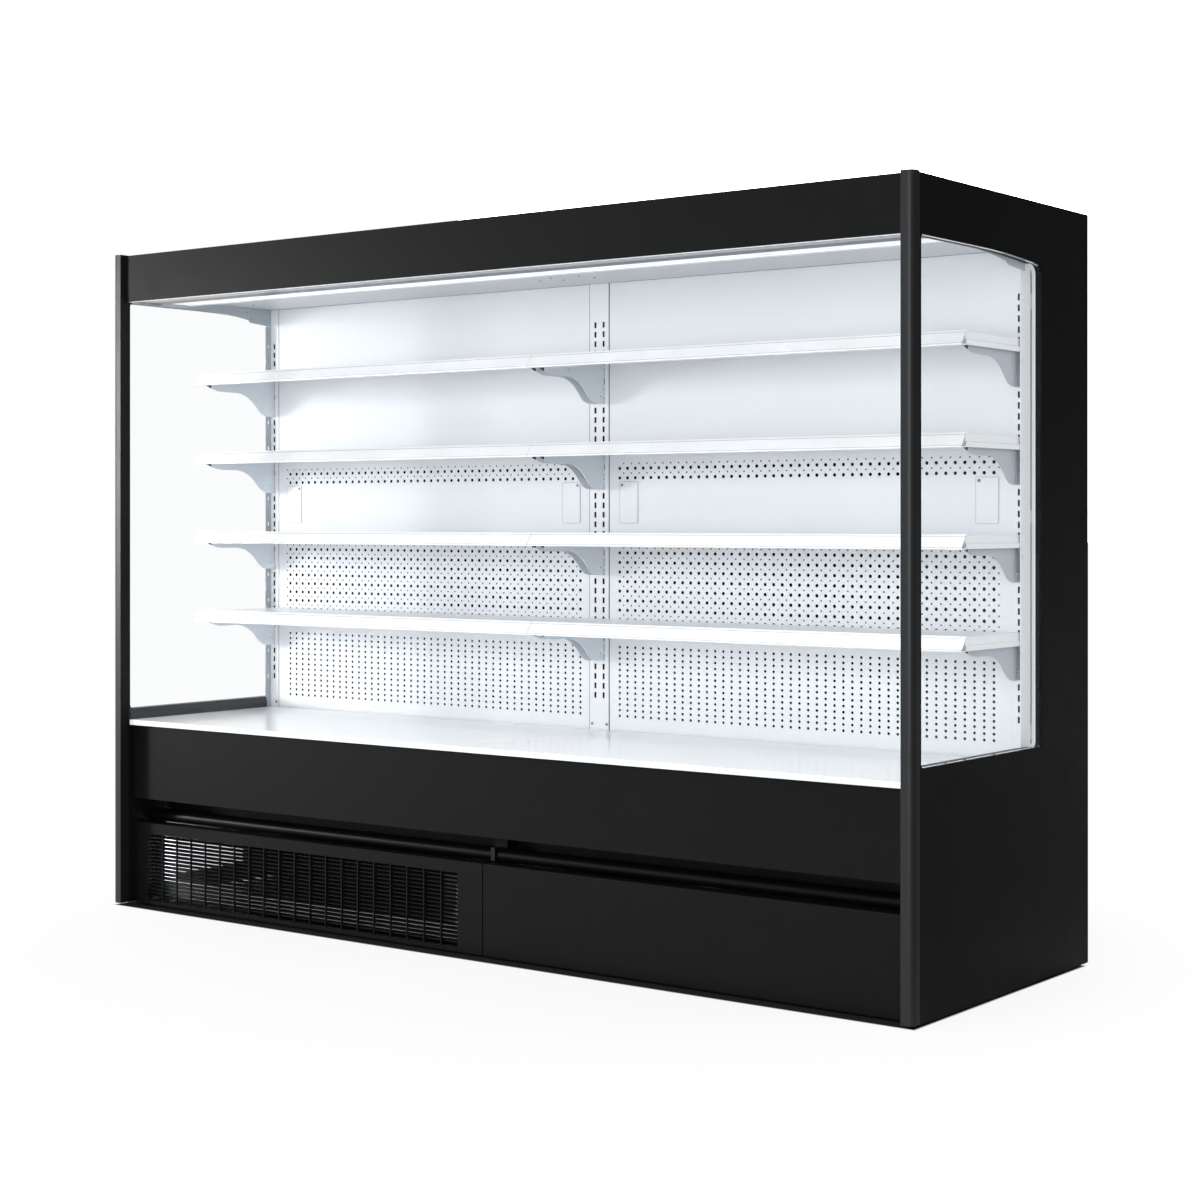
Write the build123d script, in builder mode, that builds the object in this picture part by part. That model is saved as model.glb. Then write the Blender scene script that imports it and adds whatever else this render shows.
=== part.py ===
from build123d import *
import os
from math import cos, radians, sin

# Open multideck display fridge: two shelf bays side by side between glazed end walls,
# an insulated well with the evaporator under the deck, and the condensing unit behind
# the grille in the base.  Millimetres, +X to the right along the front, +Y from front
# to back, +Z up.  The origin is the middle of the footprint, on the floor.

os.makedirs("parts", exist_ok=True)

# ---------------------------------------------------------------- driving dimensions
# Overall
overall_width = 2500
overall_depth = 860
overall_height = 1800
fit_gap = 0.3          # clearance where one piece seats against another
sheet = 2.0            # painted outer sheet metal
inner_sheet = 1.5      # white inner sheet metal

# End walls, posts and side windows
end_wall_thickness = 30
end_wall_bottom = 8
end_wall_top_drop = 3          # the posts stand this much above the panels
end_wall_corner_radius = 4
post_width = 30
post_depth = 29
post_radius = 14
post_wall = 2.5
post_bottom = 9
window_front_stile = 6
window_rear_stile = 250
window_sill = 30               # above the deck
window_head_gap = 2            # below the canopy
window_level_length = 266      # the top edge runs level this far, then curves down
window_rear_drop = 14
window_corner_radius = 10
window_rear_radius = 24
glass_thickness = 10
glass_inset = 4
liner_thickness = 2
liner_step = 7                 # small step in the lower edge of the gusset
liner_step_length = 124        # from the step to the rear edge of the window
bead_depth = 9
bead_top_depth = 5.4

# Canopy
canopy_height = 127
fascia_setback = 14            # behind the front of the posts
fascia_flange = 24
fascia_lip = 8
roof_thickness = 57
roof_edge_radius = 6
diffuser_depth = 20
diffuser_height = 14
diffuser_bow_radius = 30
light_housing_depth = 100
light_housing_height = 22
light_housing_rise = 3
outlet_depth = 108
outlet_height = 28
outlet_blades = 7
outlet_rise = 6                # recessed above the light housing
ceiling_rise = 20              # above the foot of the canopy
ceiling_lip = 15

# Insulated back wall and the air duct in front of it
back_wall_setback = 20         # rear face, in front of the end walls' rear edges
back_wall_thickness = 60
joint_groove_width = 4
joint_groove_depth = 3
air_duct_depth = 200           # from the white back panels to the back wall
panel_joint_drop = 18          # joints between the panels, below a shelf
panel_return = 12
access_plate_width = 60
access_plate_height = 110
access_plate_drop = 90         # below the second shelf
access_plate_inset = 34
access_plate_bevel = 3
access_plate_thickness = 1.2

# Slotted uprights
center_upright_width = 60
end_upright_width = 32.5
upright_forward = 2            # uprights stand this far in front of the panels
upright_depth = 28
upright_sink = 10              # below the top of the deck
end_flange_forward = 23
flange_slot_width = 4
flange_slot_height = 10
flange_slot_rows = 3           # bracket slots between one flange slot and the next
slot_width = 6.5
slot_height = 15
slot_pitch = 25
first_slot_rise = 91           # above the deck
last_slot_drop = 100           # at least this far below the top of the uprights
slot_inset = 12.75             # slot column from the end of a tray
standoff_height = 30
standoff_wall = 2
standoff_foot_rise = 55
standoff_top_drop = 130

# Shelves
tier_count = 4
top_shelf_row = 6              # slot rows from the top one to the top shelf's first hook
rows_per_shelf = 9
shelf_depth = 282
tray_flange = 30
tray_lip = 12
tray_joggle = 3
tray_joggle_drop = 16
tray_end_gap = 1.5
tray_rib_width = 60
tray_rib_depth = 10
tray_rib_inset = 60
tray_rear_gap = 1.5
rail_height = 31
rail_slope = 23                # the rail's lower edge stands this far forward
rail_wall = 2
rail_clip = 6
rail_nose = 4
bracket_thickness = 3
bracket_reach = 270
bracket_height = 110
bracket_tongue = 46
bracket_toe_length = 59        # the lower edge curves from the nose to here
bracket_level_end = 113        # then runs level to here, measured from the nose
bracket_belly_end = 186        # and swells down to here
bracket_belly_drop = 30
bracket_heel = 26              # flat foot of the bracket against the upright
hook_height = 11
hook_depth = 8
hook_drop = 5
first_hook_drop = 27           # below the top of the shelf
hook_rows = (0, 2, 3)          # slot rows that the hooks use, down from the first
bracket_hole_radius = 3.2
bracket_hole_sides = 8
tongue_hole_reach = 150        # from the upright
tongue_hole_drop = 26          # below the top of the shelf
heel_hole_reach = 15
heel_hole_rise = 20            # above the foot of the bracket

# Deck
deck_height = 515
deck_front_overhang = 24       # in front of the lower fascia
deck_lip = 14
deck_side_gap = 0.5

# Lower front
lower_fascia_setback = 49
lower_fascia_height = 204
lower_fascia_flange = 30
bar_radius = 18
bar_front_setback = 98
bar_drop = 34                  # from the foot of the lower fascia to the bar
kick_setback = 55
kick_bottom = 5
kick_top = 229
kick_split_x = 36
kick_split_gap = 3
kick_end_gap = 3
grille_end_margin = 47
grille_split_margin = 79.5
grille_foot_margin = 10
grille_head_margin = 30
grille_columns = 20
grille_rows = 18
grille_rib_width = 3
grille_rib_depth = 5
grille_border = 11
louvre_setback = 0.3           # behind the ribs
louvre_depth = 11
louvre_thickness = 2.2
louvre_fall = 4

# Well with the evaporator
well_wall = 40
well_floor = 45
well_fall = 12                 # the floor falls towards the drain
drain_radius = 16
drain_length = 40
baffle_drop = 58
baffle_thickness = 1.5
drain_wall = 2
drain_inset = 440              # from the right end wall
pipe_passage_radius = 9
suction_inset = 70             # the two pipes, from the left end wall
liquid_inset = 110
pipe_rear_gap = 50             # and from the back wall
evaporator_end_gap = 100
evaporator_rear_gap = 90
evaporator_depth = 240
evaporator_height = 130
evaporator_fin_count = 36
evaporator_pipe_rise = 96
evaporator_pipe_inset = 130
fin_thickness = 1.2
fin_depth = 8
fan_plate_gap = 170            # from the fan plate to the evaporator
fan_plate_thickness = 2
evaporator_fan_spacing = 1200
evaporator_fan_radius = 66
evaporator_fan_depth = 26
evaporator_motor_radius = 28
evaporator_motor_length = 45
fan_tip_gap = 4
fan_blade_count = 5
fan_hub_radius = 22
blade_root_sink = 4            # how far the blades run into the hub
blade_thickness = 1.8
blade_pitch = 35
blade_root_width = 24
blade_tip_width = 40
blade_tip_crown = 8
shaft_radius = 4
shaft_clearance = 0.05
hub_face_gap = 0.5
motor_bar = 8

# Base and condensing unit
base_rail_bottom = 20
base_rail_height = 40
base_rail_depth = 66
base_rail_wall = 3
base_front_setback = 100
base_rear_setback = 30
base_end_inset = 40
base_column = 40
machine_plate_left_inset = 220
machine_plate_right_inset = 170
foot_radius = 24
foot_sides = 16
foot_pad_height = 8
foot_taper = 12
stud_radius = 6
stud_sides = 12
stud_clearance = 0.4
nut_height = 9
nut_radius = 10.5
condenser_inset = 185          # from the left end of the machine plate
condenser_setback = 90         # from the front of the base
condenser_length = 560
condenser_depth = 60
condenser_height = 190
condenser_fin_count = 34
condenser_fan_radius = 84
condenser_fan_depth = 30
condenser_motor_radius = 36
condenser_motor_length = 60
shroud_depth = 46
compressor_inset = 400
compressor_rear_gap = 184
compressor_radius = 88
compressor_height = 205
compressor_dome = 45
compressor_dome_bevel = 14
compressor_foot_bevel = 16
mount_height = 14
mount_radius = 12
mount_sides = 8
foot_plate_bevel = 12
mount_spacing = 150
foot_plate_size = 190
foot_plate_thickness = 4
receiver_inset = 670
receiver_radius = 38
receiver_length = 210
receiver_bevel = 16
liquid_port_offset = 15
suction_port_rise = 120
pipe_radius = 6
pipe_sides = 8
pipe_bend = 24
control_box_gap = 80           # from the drip tray
control_box_setback = 90
control_box_width = 300
control_box_depth = 120
control_box_height = 170
control_box_bevel = 5
control_box_lid = 18
gland_inset = 220
gland_rise = 128
gland_bore = 6
gland_nut_radius = 14.3
gland_radius = 11
gland_length = 16
drip_tray_width = 440
drip_tray_depth = 320
drip_tray_height = 45
drip_tray_wall = 2
drip_tray_radius = 14

# Fasteners
screw_radius = 4
screw_height = 2.4
screw_taper = 20
screw_rise = 25                # above the foot of the uprights
screw_edge = 6                 # from the edge of the middle upright
end_screw_edge = 24.5          # clear of the slots and the brackets in them
screw_sides = 12
access_screw_inset = 9
catch_width = 12
catch_gap = 3

# ---------------------------------------------------------------- derived positions
half_width = overall_width / 2
front_y = -overall_depth / 2
rear_y = overall_depth / 2
inner_x = half_width - end_wall_thickness
between_x = inner_x - fit_gap
liner_x = inner_x - liner_thickness

# Levels
panel_top = overall_height - end_wall_top_drop
canopy_bottom = panel_top - canopy_height
ceiling_height = canopy_bottom + ceiling_rise
roof_top = panel_top - sheet
roof_bottom = roof_top - roof_thickness
window_bottom = deck_height + window_sill
window_top = canopy_bottom - window_head_gap
upright_bottom = deck_height - upright_sink
upright_top = ceiling_height - fit_gap
first_slot_height = deck_height + first_slot_rise
slot_span = upright_top - last_slot_drop - first_slot_height
slot_count = int(slot_span // slot_pitch) + 1
shelf_heights = [
    first_slot_height
    + slot_pitch * (slot_count - top_shelf_row - rows_per_shelf * tier)
    + first_hook_drop
    for tier in range(tier_count)
]
upper_panel_bottom = shelf_heights[1] - panel_joint_drop
middle_panel_bottom = shelf_heights[2] - panel_joint_drop
access_plate_top = shelf_heights[1] - access_plate_drop
standoff_low = upright_bottom + standoff_foot_rise
standoff_high = upright_top - standoff_top_drop
standoff_levels = (standoff_low, (standoff_low + standoff_high) / 2, standoff_high)
lower_fascia_top = deck_height - deck_lip - sheet / 2
lower_fascia_bottom = lower_fascia_top - lower_fascia_height
bar_top = lower_fascia_bottom - bar_drop
well_bottom = lower_fascia_bottom + sheet + fit_gap
well_floor_top = well_bottom + well_floor
well_top = deck_height - sheet - fit_gap
bead_bottom = well_top + fit_gap
base_rail_top = base_rail_bottom + base_rail_height
machine_floor = base_rail_top + sheet
grille_bottom = kick_bottom + grille_foot_margin
grille_top = kick_top - grille_head_margin

# Front to back
post_rear_y = front_y + post_depth
window_front_y = post_rear_y + window_front_stile
window_level_end_y = window_front_y + window_level_length
window_rear_y = rear_y - window_rear_stile
liner_step_y = window_rear_y - liner_step_length
fascia_y = front_y + fascia_setback
diffuser_front_y = fascia_y + fascia_lip + fit_gap
housing_front_y = diffuser_front_y + diffuser_depth + fit_gap
outlet_front_y = housing_front_y + light_housing_depth + fit_gap
ceiling_front_y = outlet_front_y + outlet_depth + fit_gap
back_wall_rear_y = rear_y - back_wall_setback
back_wall_front_y = back_wall_rear_y - back_wall_thickness
back_panel_y = back_wall_front_y - air_duct_depth
upright_y = back_panel_y - upright_forward
upright_rear_y = upright_y + upright_depth
tray_rear_y = upright_y - tray_rear_gap
tray_front_y = tray_rear_y - shelf_depth
lower_fascia_y = front_y + lower_fascia_setback
well_front_y = lower_fascia_y + sheet + fit_gap
well_rear_y = back_wall_front_y - fit_gap
deck_front_y = lower_fascia_y - deck_front_overhang
deck_rear_y = upright_y - fit_gap - screw_height - deck_side_gap
kick_y = front_y + kick_setback
bar_front_y = front_y + bar_front_setback
base_front_y = front_y + base_front_setback
base_rear_y = rear_y - base_rear_setback - base_rail_depth
kick_rear_y = base_front_y - fit_gap
column_front_y = base_front_y + base_rail_depth - base_column
column_rear_y = base_rear_y + base_rail_depth - base_column
bar_rear_y = column_front_y - fit_gap
baffle_y = column_front_y + base_column + fit_gap
pipe_passage_y = back_wall_front_y - pipe_rear_gap
evaporator_front_y = well_rear_y - evaporator_rear_gap - evaporator_depth
evaporator_pipe_y = evaporator_front_y + evaporator_pipe_inset
fan_plate_y = evaporator_front_y - fan_plate_gap
drain_y = (evaporator_front_y + fan_plate_y) / 2
condenser_front_y = base_front_y + condenser_setback
compressor_y = base_rear_y - compressor_rear_gap
control_box_front_y = base_front_y + control_box_setback

# Left to right
end_upright_left_x = between_x - end_upright_width
tray_inner_end = tray_end_gap / 2
tray_outer_end = between_x - sheet - 2 * fit_gap
tray_width = tray_outer_end - tray_inner_end
slot_columns = (tray_inner_end + slot_inset, tray_outer_end - slot_inset)
deck_end_x = inner_x - bead_depth - deck_side_gap
kick_ends = (-inner_x + kick_end_gap, inner_x - kick_end_gap)
grille_left_x = kick_ends[0] + grille_end_margin
grille_right_x = kick_split_x - kick_split_gap / 2 - grille_split_margin
suction_x = -inner_x + suction_inset
liquid_x = -inner_x + liquid_inset
drain_x = inner_x - drain_inset
control_box_right_x = drain_x - drip_tray_width / 2 - control_box_gap
control_box_left_x = control_box_right_x - control_box_width
evaporator_end_x = inner_x - evaporator_end_gap
machine_plate_left_x = -inner_x + machine_plate_left_inset
machine_plate_right_x = inner_x - machine_plate_right_inset
condenser_left_x = machine_plate_left_x + condenser_inset
compressor_x = machine_plate_left_x + compressor_inset
receiver_x = machine_plate_left_x + receiver_inset
gland_x = control_box_left_x + gland_inset
foot_xs = (-between_x + base_end_inset, 0, between_x - base_end_inset)
column_xs = (-between_x + base_column / 2, kick_split_x, between_x - base_column / 2)
upright_spans = (
    (-between_x, -end_upright_left_x),
    (-center_upright_width / 2, center_upright_width / 2),
    (end_upright_left_x, between_x),
)


# ---------------------------------------------------------------- shared shapes
def save(piece, name):
    """Label a finished piece and write it to its own file."""
    piece.part.label = name
    export_step(piece.part, f"parts/{name}.step")


def block(x, y, z, mode=Mode.ADD):
    """A rectangular block between the given limits."""
    with Locations(((x[0] + x[1]) / 2, (y[0] + y[1]) / 2, (z[0] + z[1]) / 2)):
        Box(x[1] - x[0], y[1] - y[0], z[1] - z[0], mode=mode)


def area(x, y, mode=Mode.ADD):
    """A rectangle between the given limits of a sketch."""
    with Locations(((x[0] + x[1]) / 2, (y[0] + y[1]) / 2)):
        Rectangle(x[1] - x[0], y[1] - y[0], mode=mode)


def bent_sheet(points, thickness, side=Side.LEFT):
    """The closed section of a folded sheet whose outer face follows the points."""
    with BuildLine() as outline:
        Polyline(*points)
        offset(amount=thickness, side=side, kind=Kind.INTERSECTION)
    make_face(outline.edges())


def side_plane(x):
    """Sketch plane with +Y to the right and +Z up, facing +X."""
    return Plane.YZ.offset(x)


def front_plane(y):
    """Sketch plane with +X to the right and +Z up, facing the front."""
    return Plane.XZ.offset(-y)


def window_outline(sketch):
    """The side window: straight front, arched top, rounded rear corner."""
    top_rear = (window_rear_y, window_top - window_rear_drop)
    with BuildLine() as outline:
        front = Line((window_front_y, window_bottom), (window_front_y, window_top))
        level = Line(front @ 1, (window_level_end_y, window_top))
        arch = TangentArc(level @ 1, top_rear, tangent=(1, 0))
        rear = Line(arch @ 1, (window_rear_y, window_bottom))
        Line(rear @ 1, front @ 0)
    make_face(outline.edges())
    fillet(sketch.vertices().sort_by_distance((*top_rear, 0))[0], window_rear_radius)
    fillet(sketch.vertices().sort_by(Axis.Y)[:2], window_corner_radius)
    front_top = (window_front_y, window_top, 0)
    fillet(sketch.vertices().sort_by_distance(front_top)[0], window_corner_radius)


# ---------------------------------------------------------------- end walls
with BuildPart() as end_panel_left:
    with BuildSketch(side_plane(-half_width)) as wall_outline:
        area((post_rear_y, rear_y), (end_wall_bottom, panel_top))
        fillet(wall_outline.vertices().group_by(Axis.X)[-1], end_wall_corner_radius)
    extrude(amount=end_wall_thickness)
    with BuildSketch(side_plane(-half_width)) as window_cut:
        window_outline(window_cut)
    extrude(amount=end_wall_thickness, mode=Mode.SUBTRACT)
save(end_panel_left, "end_panel_left")

with BuildPart() as end_panel_right:
    mirror(end_panel_left.part, about=Plane.YZ)
save(end_panel_right, "end_panel_right")

with BuildPart() as side_glass:
    with BuildSketch(side_plane(-half_width + glass_inset)) as pane:
        window_outline(pane)
        offset(amount=-fit_gap, mode=Mode.REPLACE)
    extrude(amount=glass_thickness)
    mirror(about=Plane.YZ)
save(side_glass, "side_glass")

# Painted gusset that closes the end of the canopy above each window, inside
gusset_rear_y = upright_y - fit_gap
gusset_front_y = fascia_y + sheet + fascia_flange + 2 * fit_gap
gusset_top = roof_bottom - fit_gap
gusset_step = window_top - window_rear_drop
gusset_foot = gusset_step - 2 * liner_step
with BuildPart() as side_liners:
    with BuildSketch(side_plane(-inner_x)):
        with BuildLine():
            front = Line((gusset_front_y, gusset_top), (gusset_front_y, window_top))
            level = Line(front @ 1, (window_level_end_y, window_top))
            arch = TangentArc(level @ 1, (liner_step_y, gusset_step), tangent=(1, 0))
            step = Line(arch @ 1, (liner_step_y + liner_step, gusset_step - liner_step))
            foot = Line(step @ 1, (gusset_rear_y, gusset_foot))
            rear = Line(foot @ 1, (gusset_rear_y, gusset_top))
            Line(rear @ 1, front @ 0)
        make_face()
    extrude(amount=liner_thickness)
    mirror(about=Plane.YZ)
save(side_liners, "side_liners")

# Dark glazing bead along the foot of each window, inside
bead_front_y = post_rear_y + fit_gap
bead_rear_y = upright_y - end_flange_forward - fit_gap
bead_face_x = inner_x - bead_depth
with BuildPart() as glazing_beads:
    with BuildSketch(front_plane(bead_front_y)):
        with BuildLine():
            Polyline(
                (-inner_x, window_bottom),
                (-inner_x + bead_top_depth, window_bottom),
                (-bead_face_x, (window_bottom + bead_bottom) / 2),
                (-bead_face_x, bead_bottom),
                (-inner_x, bead_bottom),
                close=True,
            )
        make_face()
    extrude(amount=bead_front_y - bead_rear_y)
    mirror(about=Plane.YZ)
save(glazing_beads, "glazing_beads")

# Hollow corner posts with a rounded outer corner
with BuildPart() as corner_posts:
    with BuildSketch(Plane.XY.offset(post_bottom)) as post_section:
        area((-half_width, -half_width + post_width), (front_y, post_rear_y))
        outer = post_section.vertices().sort_by_distance((-half_width, front_y, 0))
        fillet(outer[0], post_radius)
        offset(amount=-post_wall, mode=Mode.SUBTRACT)
    extrude(amount=overall_height - post_bottom)
    mirror(about=Plane.YZ)
save(corner_posts, "corner_posts")

# ---------------------------------------------------------------- canopy
with BuildPart() as canopy_roof:
    block(
        (-between_x, between_x),
        (fascia_y + sheet + fit_gap, back_wall_rear_y),
        (roof_bottom, roof_top),
    )
    fillet(canopy_roof.edges().filter_by(Axis.X).group_by(Axis.Y)[-1], roof_edge_radius)
save(canopy_roof, "canopy_roof")

with BuildPart() as canopy_fascia:
    with BuildSketch(side_plane(-between_x)):
        bent_sheet(
            [
                (fascia_y + fascia_flange, panel_top),
                (fascia_y, panel_top),
                (fascia_y, canopy_bottom),
                (fascia_y + fascia_lip, canopy_bottom),
            ],
            sheet,
        )
    extrude(amount=2 * between_x)
save(canopy_fascia, "canopy_fascia")

# Light housing: a shallow tray hung under the roof behind the fascia
canopy_half = liner_x - fit_gap
housing_bottom = canopy_bottom + sheet + fit_gap
housing_rear_y = housing_front_y + light_housing_depth
with BuildPart() as light_housing:
    with BuildSketch(side_plane(-canopy_half)):
        bent_sheet(
            [
                (housing_front_y, roof_bottom - fit_gap),
                (housing_front_y, housing_bottom + light_housing_rise),
                (housing_rear_y, housing_bottom),
                (housing_rear_y, housing_bottom + light_housing_height),
            ],
            inner_sheet,
        )
    extrude(amount=2 * canopy_half)
save(light_housing, "light_housing")

# Light diffuser: a half-round translucent cover in front of the housing
with BuildPart() as light_diffuser:
    with BuildSketch(side_plane(-canopy_half)):
        with BuildLine():
            left_end = (housing_front_y - diffuser_depth - fit_gap, housing_bottom)
            right_end = (housing_front_y - fit_gap, housing_bottom)
            top_left = (left_end[0], housing_bottom + diffuser_height)
            top_right = (right_end[0], housing_bottom + diffuser_height)
            Polyline(left_end, top_left, top_right, right_end)
            RadiusArc(right_end, left_end, diffuser_bow_radius)
        make_face()
    extrude(amount=2 * canopy_half)
save(light_diffuser, "light_diffuser")

# Air outlet: a frame with blades across the opening of the air curtain
outlet_rear_y = outlet_front_y + outlet_depth
outlet_bottom = housing_bottom + outlet_rise
with BuildPart() as air_outlet:
    with BuildSketch(Plane.XY.offset(outlet_bottom)):
        area((-canopy_half, canopy_half), (outlet_front_y, outlet_rear_y))
        area(
            (-canopy_half + inner_sheet, canopy_half - inner_sheet),
            (outlet_front_y + inner_sheet, outlet_rear_y - inner_sheet),
            mode=Mode.SUBTRACT,
        )
        with GridLocations(0, outlet_depth / (outlet_blades + 1), 1, outlet_blades):
            with Locations((0, (outlet_front_y + outlet_rear_y) / 2)):
                Rectangle(2 * canopy_half - inner_sheet, inner_sheet)
    extrude(amount=outlet_height)
save(air_outlet, "air_outlet")

with BuildPart() as canopy_ceiling:
    with BuildSketch(side_plane(-canopy_half)):
        bent_sheet(
            [
                (ceiling_front_y, ceiling_height + ceiling_lip),
                (ceiling_front_y, ceiling_height - ceiling_lip),
                (ceiling_front_y + ceiling_lip, ceiling_height),
                (gusset_rear_y, ceiling_height),
            ],
            inner_sheet,
        )
    extrude(amount=2 * canopy_half)
save(canopy_ceiling, "canopy_ceiling")

# ---------------------------------------------------------------- insulated body
with BuildPart() as insulated_back_wall:
    block(
        (-between_x, between_x),
        (back_wall_front_y, back_wall_rear_y),
        (well_bottom, roof_bottom - fit_gap),
    )
    block(
        (-joint_groove_width / 2, joint_groove_width / 2),
        (back_wall_rear_y - joint_groove_depth, back_wall_rear_y),
        (well_bottom, roof_bottom),
        mode=Mode.SUBTRACT,
    )
save(insulated_back_wall, "insulated_back_wall")

# Well: a trough whose floor falls to a drain, with a drain spout and an air baffle below
with BuildPart() as insulated_well:
    with BuildSketch(side_plane(-between_x)):
        with BuildLine():
            Polyline(
                (well_front_y, well_bottom),
                (well_rear_y, well_bottom),
                (well_rear_y, well_floor_top),
                (drain_y, well_floor_top - well_fall),
                (well_front_y + well_wall, well_floor_top),
                (well_front_y + well_wall, well_top),
                (well_front_y, well_top),
                close=True,
            )
        make_face()
    extrude(amount=2 * between_x)
    block(
        (-between_x, between_x),
        (baffle_y, baffle_y + baffle_thickness),
        (well_bottom - baffle_drop, well_bottom),
    )
    with BuildSketch(Plane.XY.offset(well_bottom)):
        with Locations((drain_x, drain_y)):
            Circle(drain_radius)
    extrude(amount=-drain_length)
    with BuildSketch(Plane.XY.offset(well_bottom - drain_length)):
        with Locations((drain_x, drain_y)):
            Circle(drain_radius - drain_wall)
    extrude(amount=drain_length + well_floor, mode=Mode.SUBTRACT)
    with BuildSketch(Plane.XY.offset(well_bottom)):
        with Locations((suction_x, pipe_passage_y), (liquid_x, pipe_passage_y)):
            Circle(pipe_passage_radius)
    extrude(amount=well_floor + well_fall, mode=Mode.SUBTRACT)
save(insulated_well, "insulated_well")

# ---------------------------------------------------------------- slotted uprights
def slot_field(columns):
    """Rows of bracket slots at the given columns, in a front-facing sketch."""
    middle = first_slot_height + slot_pitch * (slot_count - 1) / 2
    for column in columns:
        with Locations((column, middle)):
            with GridLocations(0, slot_pitch, 1, slot_count):
                Rectangle(slot_width, slot_height)


with BuildPart() as center_upright:
    half_channel = center_upright_width / 2
    with BuildSketch(Plane.XY.offset(upright_bottom)):
        area((-half_channel, half_channel), (upright_y, upright_rear_y))
        area(
            (-half_channel + sheet, half_channel - sheet),
            (upright_y + sheet, upright_rear_y),
            mode=Mode.SUBTRACT,
        )
    extrude(amount=upright_top - upright_bottom)
    with BuildSketch(front_plane(upright_y)):
        slot_field((-slot_columns[0], slot_columns[0]))
    extrude(amount=-sheet, mode=Mode.SUBTRACT)
save(center_upright, "center_upright")

# End uprights: a channel with a flange that runs forward along the end wall
with BuildPart() as end_uprights:
    with BuildSketch(Plane.XY.offset(upright_bottom)):
        area((end_upright_left_x, between_x), (upright_y, upright_rear_y))
        area(
            (end_upright_left_x + sheet, between_x - sheet),
            (upright_y + sheet, upright_rear_y),
            mode=Mode.SUBTRACT,
        )
    extrude(amount=upright_top - upright_bottom)
    block(
        (between_x - sheet, between_x),
        (upright_y - end_flange_forward, upright_y),
        (upright_bottom, gusset_foot - fit_gap),
    )
    with BuildSketch(front_plane(upright_y)):
        slot_field((slot_columns[1],))
    extrude(amount=-sheet, mode=Mode.SUBTRACT)
    flange_pitch = flange_slot_rows * slot_pitch
    flange_slot_count = (slot_count - 1) // flange_slot_rows + 1
    with BuildSketch(side_plane(between_x - sheet)):
        with Locations(
            (
                upright_y - end_flange_forward / 2,
                first_slot_height + flange_pitch * (flange_slot_count - 1) / 2,
            )
        ):
            with GridLocations(0, flange_pitch, 1, flange_slot_count):
                Rectangle(flange_slot_width, flange_slot_height)
    extrude(amount=sheet, mode=Mode.SUBTRACT)
    mirror(about=Plane.YZ)
save(end_uprights, "end_uprights")

# Short tubes that hold the uprights off the back wall, across the air duct
with BuildPart() as upright_standoffs:
    for height in standoff_levels:
        for left, right in upright_spans:
            with BuildSketch(front_plane(upright_rear_y + fit_gap)):
                area((left, right), (height, height + standoff_height))
                area(
                    (left + standoff_wall, right - standoff_wall),
                    (height + standoff_wall, height + standoff_height - standoff_wall),
                    mode=Mode.SUBTRACT,
                )
            extrude(amount=-(back_wall_front_y - upright_rear_y - 2 * fit_gap))
save(upright_standoffs, "upright_standoffs")


# ---------------------------------------------------------------- shelf brackets
def bracket_profile(shelf_height):
    """One bracket from the side: a long tongue, an ogee, three hooks and two holes."""
    top = shelf_height - inner_sheet - fit_gap
    rail_foot = shelf_height - rail_height
    tongue = shelf_height - bracket_tongue
    foot = shelf_height - bracket_height
    wall = upright_y - fit_gap
    nose = wall - bracket_reach
    with BuildLine() as outline:
        top_edge = Line((wall, top), (nose, top))
        front = Line(top_edge @ 1, (nose, rail_foot))
        under = Spline(
            front @ 1,
            (nose + bracket_toe_length, tongue),
            tangents=((1, -0.35), (1, 0)),
        )
        level = Line(under @ 1, (nose + bracket_level_end, tongue))
        belly = TangentArc(
            level @ 1,
            (nose + bracket_belly_end, tongue - bracket_belly_drop),
            tangent=(1, 0),
        )
        heel = Spline(
            belly @ 1,
            (wall - bracket_heel, foot),
            tangents=(belly % 1, (1, 0)),
        )
        base = Line(heel @ 1, (wall, foot))
        Line(base @ 1, top_edge @ 0)
    make_face(outline.edges())
    for row in hook_rows:
        hook_top = shelf_height - first_hook_drop - row * slot_pitch + hook_height / 2
        hook_foot = hook_top - hook_height
        behind = upright_y + sheet + fit_gap
        area((wall, behind + hook_depth), (hook_foot + hook_drop, hook_top))
        area((behind, behind + hook_depth), (hook_foot, hook_top))
    with Locations(
        (wall - tongue_hole_reach, shelf_height - tongue_hole_drop),
        (wall - heel_hole_reach, foot + heel_hole_rise),
    ):
        RegularPolygon(bracket_hole_radius, bracket_hole_sides, mode=Mode.SUBTRACT)


with BuildPart() as shelf_brackets:
    for shelf_height in shelf_heights:
        for column in slot_columns:
            with BuildSketch(side_plane(column - bracket_thickness / 2)):
                bracket_profile(shelf_height)
            extrude(amount=bracket_thickness)
    mirror(about=Plane.YZ)
save(shelf_brackets, "shelf_brackets")


# ---------------------------------------------------------------- white back panels
def back_panel(left, right, bottom, top):
    """A white panel with its two sides folded back."""
    with BuildSketch(Plane.XY.offset(bottom)) as section:
        area((left, right), (back_panel_y, back_panel_y + panel_return))
        area(
            (left + inner_sheet, right - inner_sheet),
            (back_panel_y + inner_sheet, back_panel_y + panel_return),
            mode=Mode.SUBTRACT,
        )
    extrude(section.sketch, amount=top - bottom)


panel_left_x = center_upright_width / 2 + fit_gap
panel_right_x = end_upright_left_x - fit_gap
with BuildPart() as plain_back_panels:
    back_panel(panel_left_x, panel_right_x, upper_panel_bottom, upright_top)
    back_panel(
        panel_left_x, panel_right_x, middle_panel_bottom, upper_panel_bottom - fit_gap
    )
    mirror(about=Plane.YZ)
save(plain_back_panels, "plain_back_panels")

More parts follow.
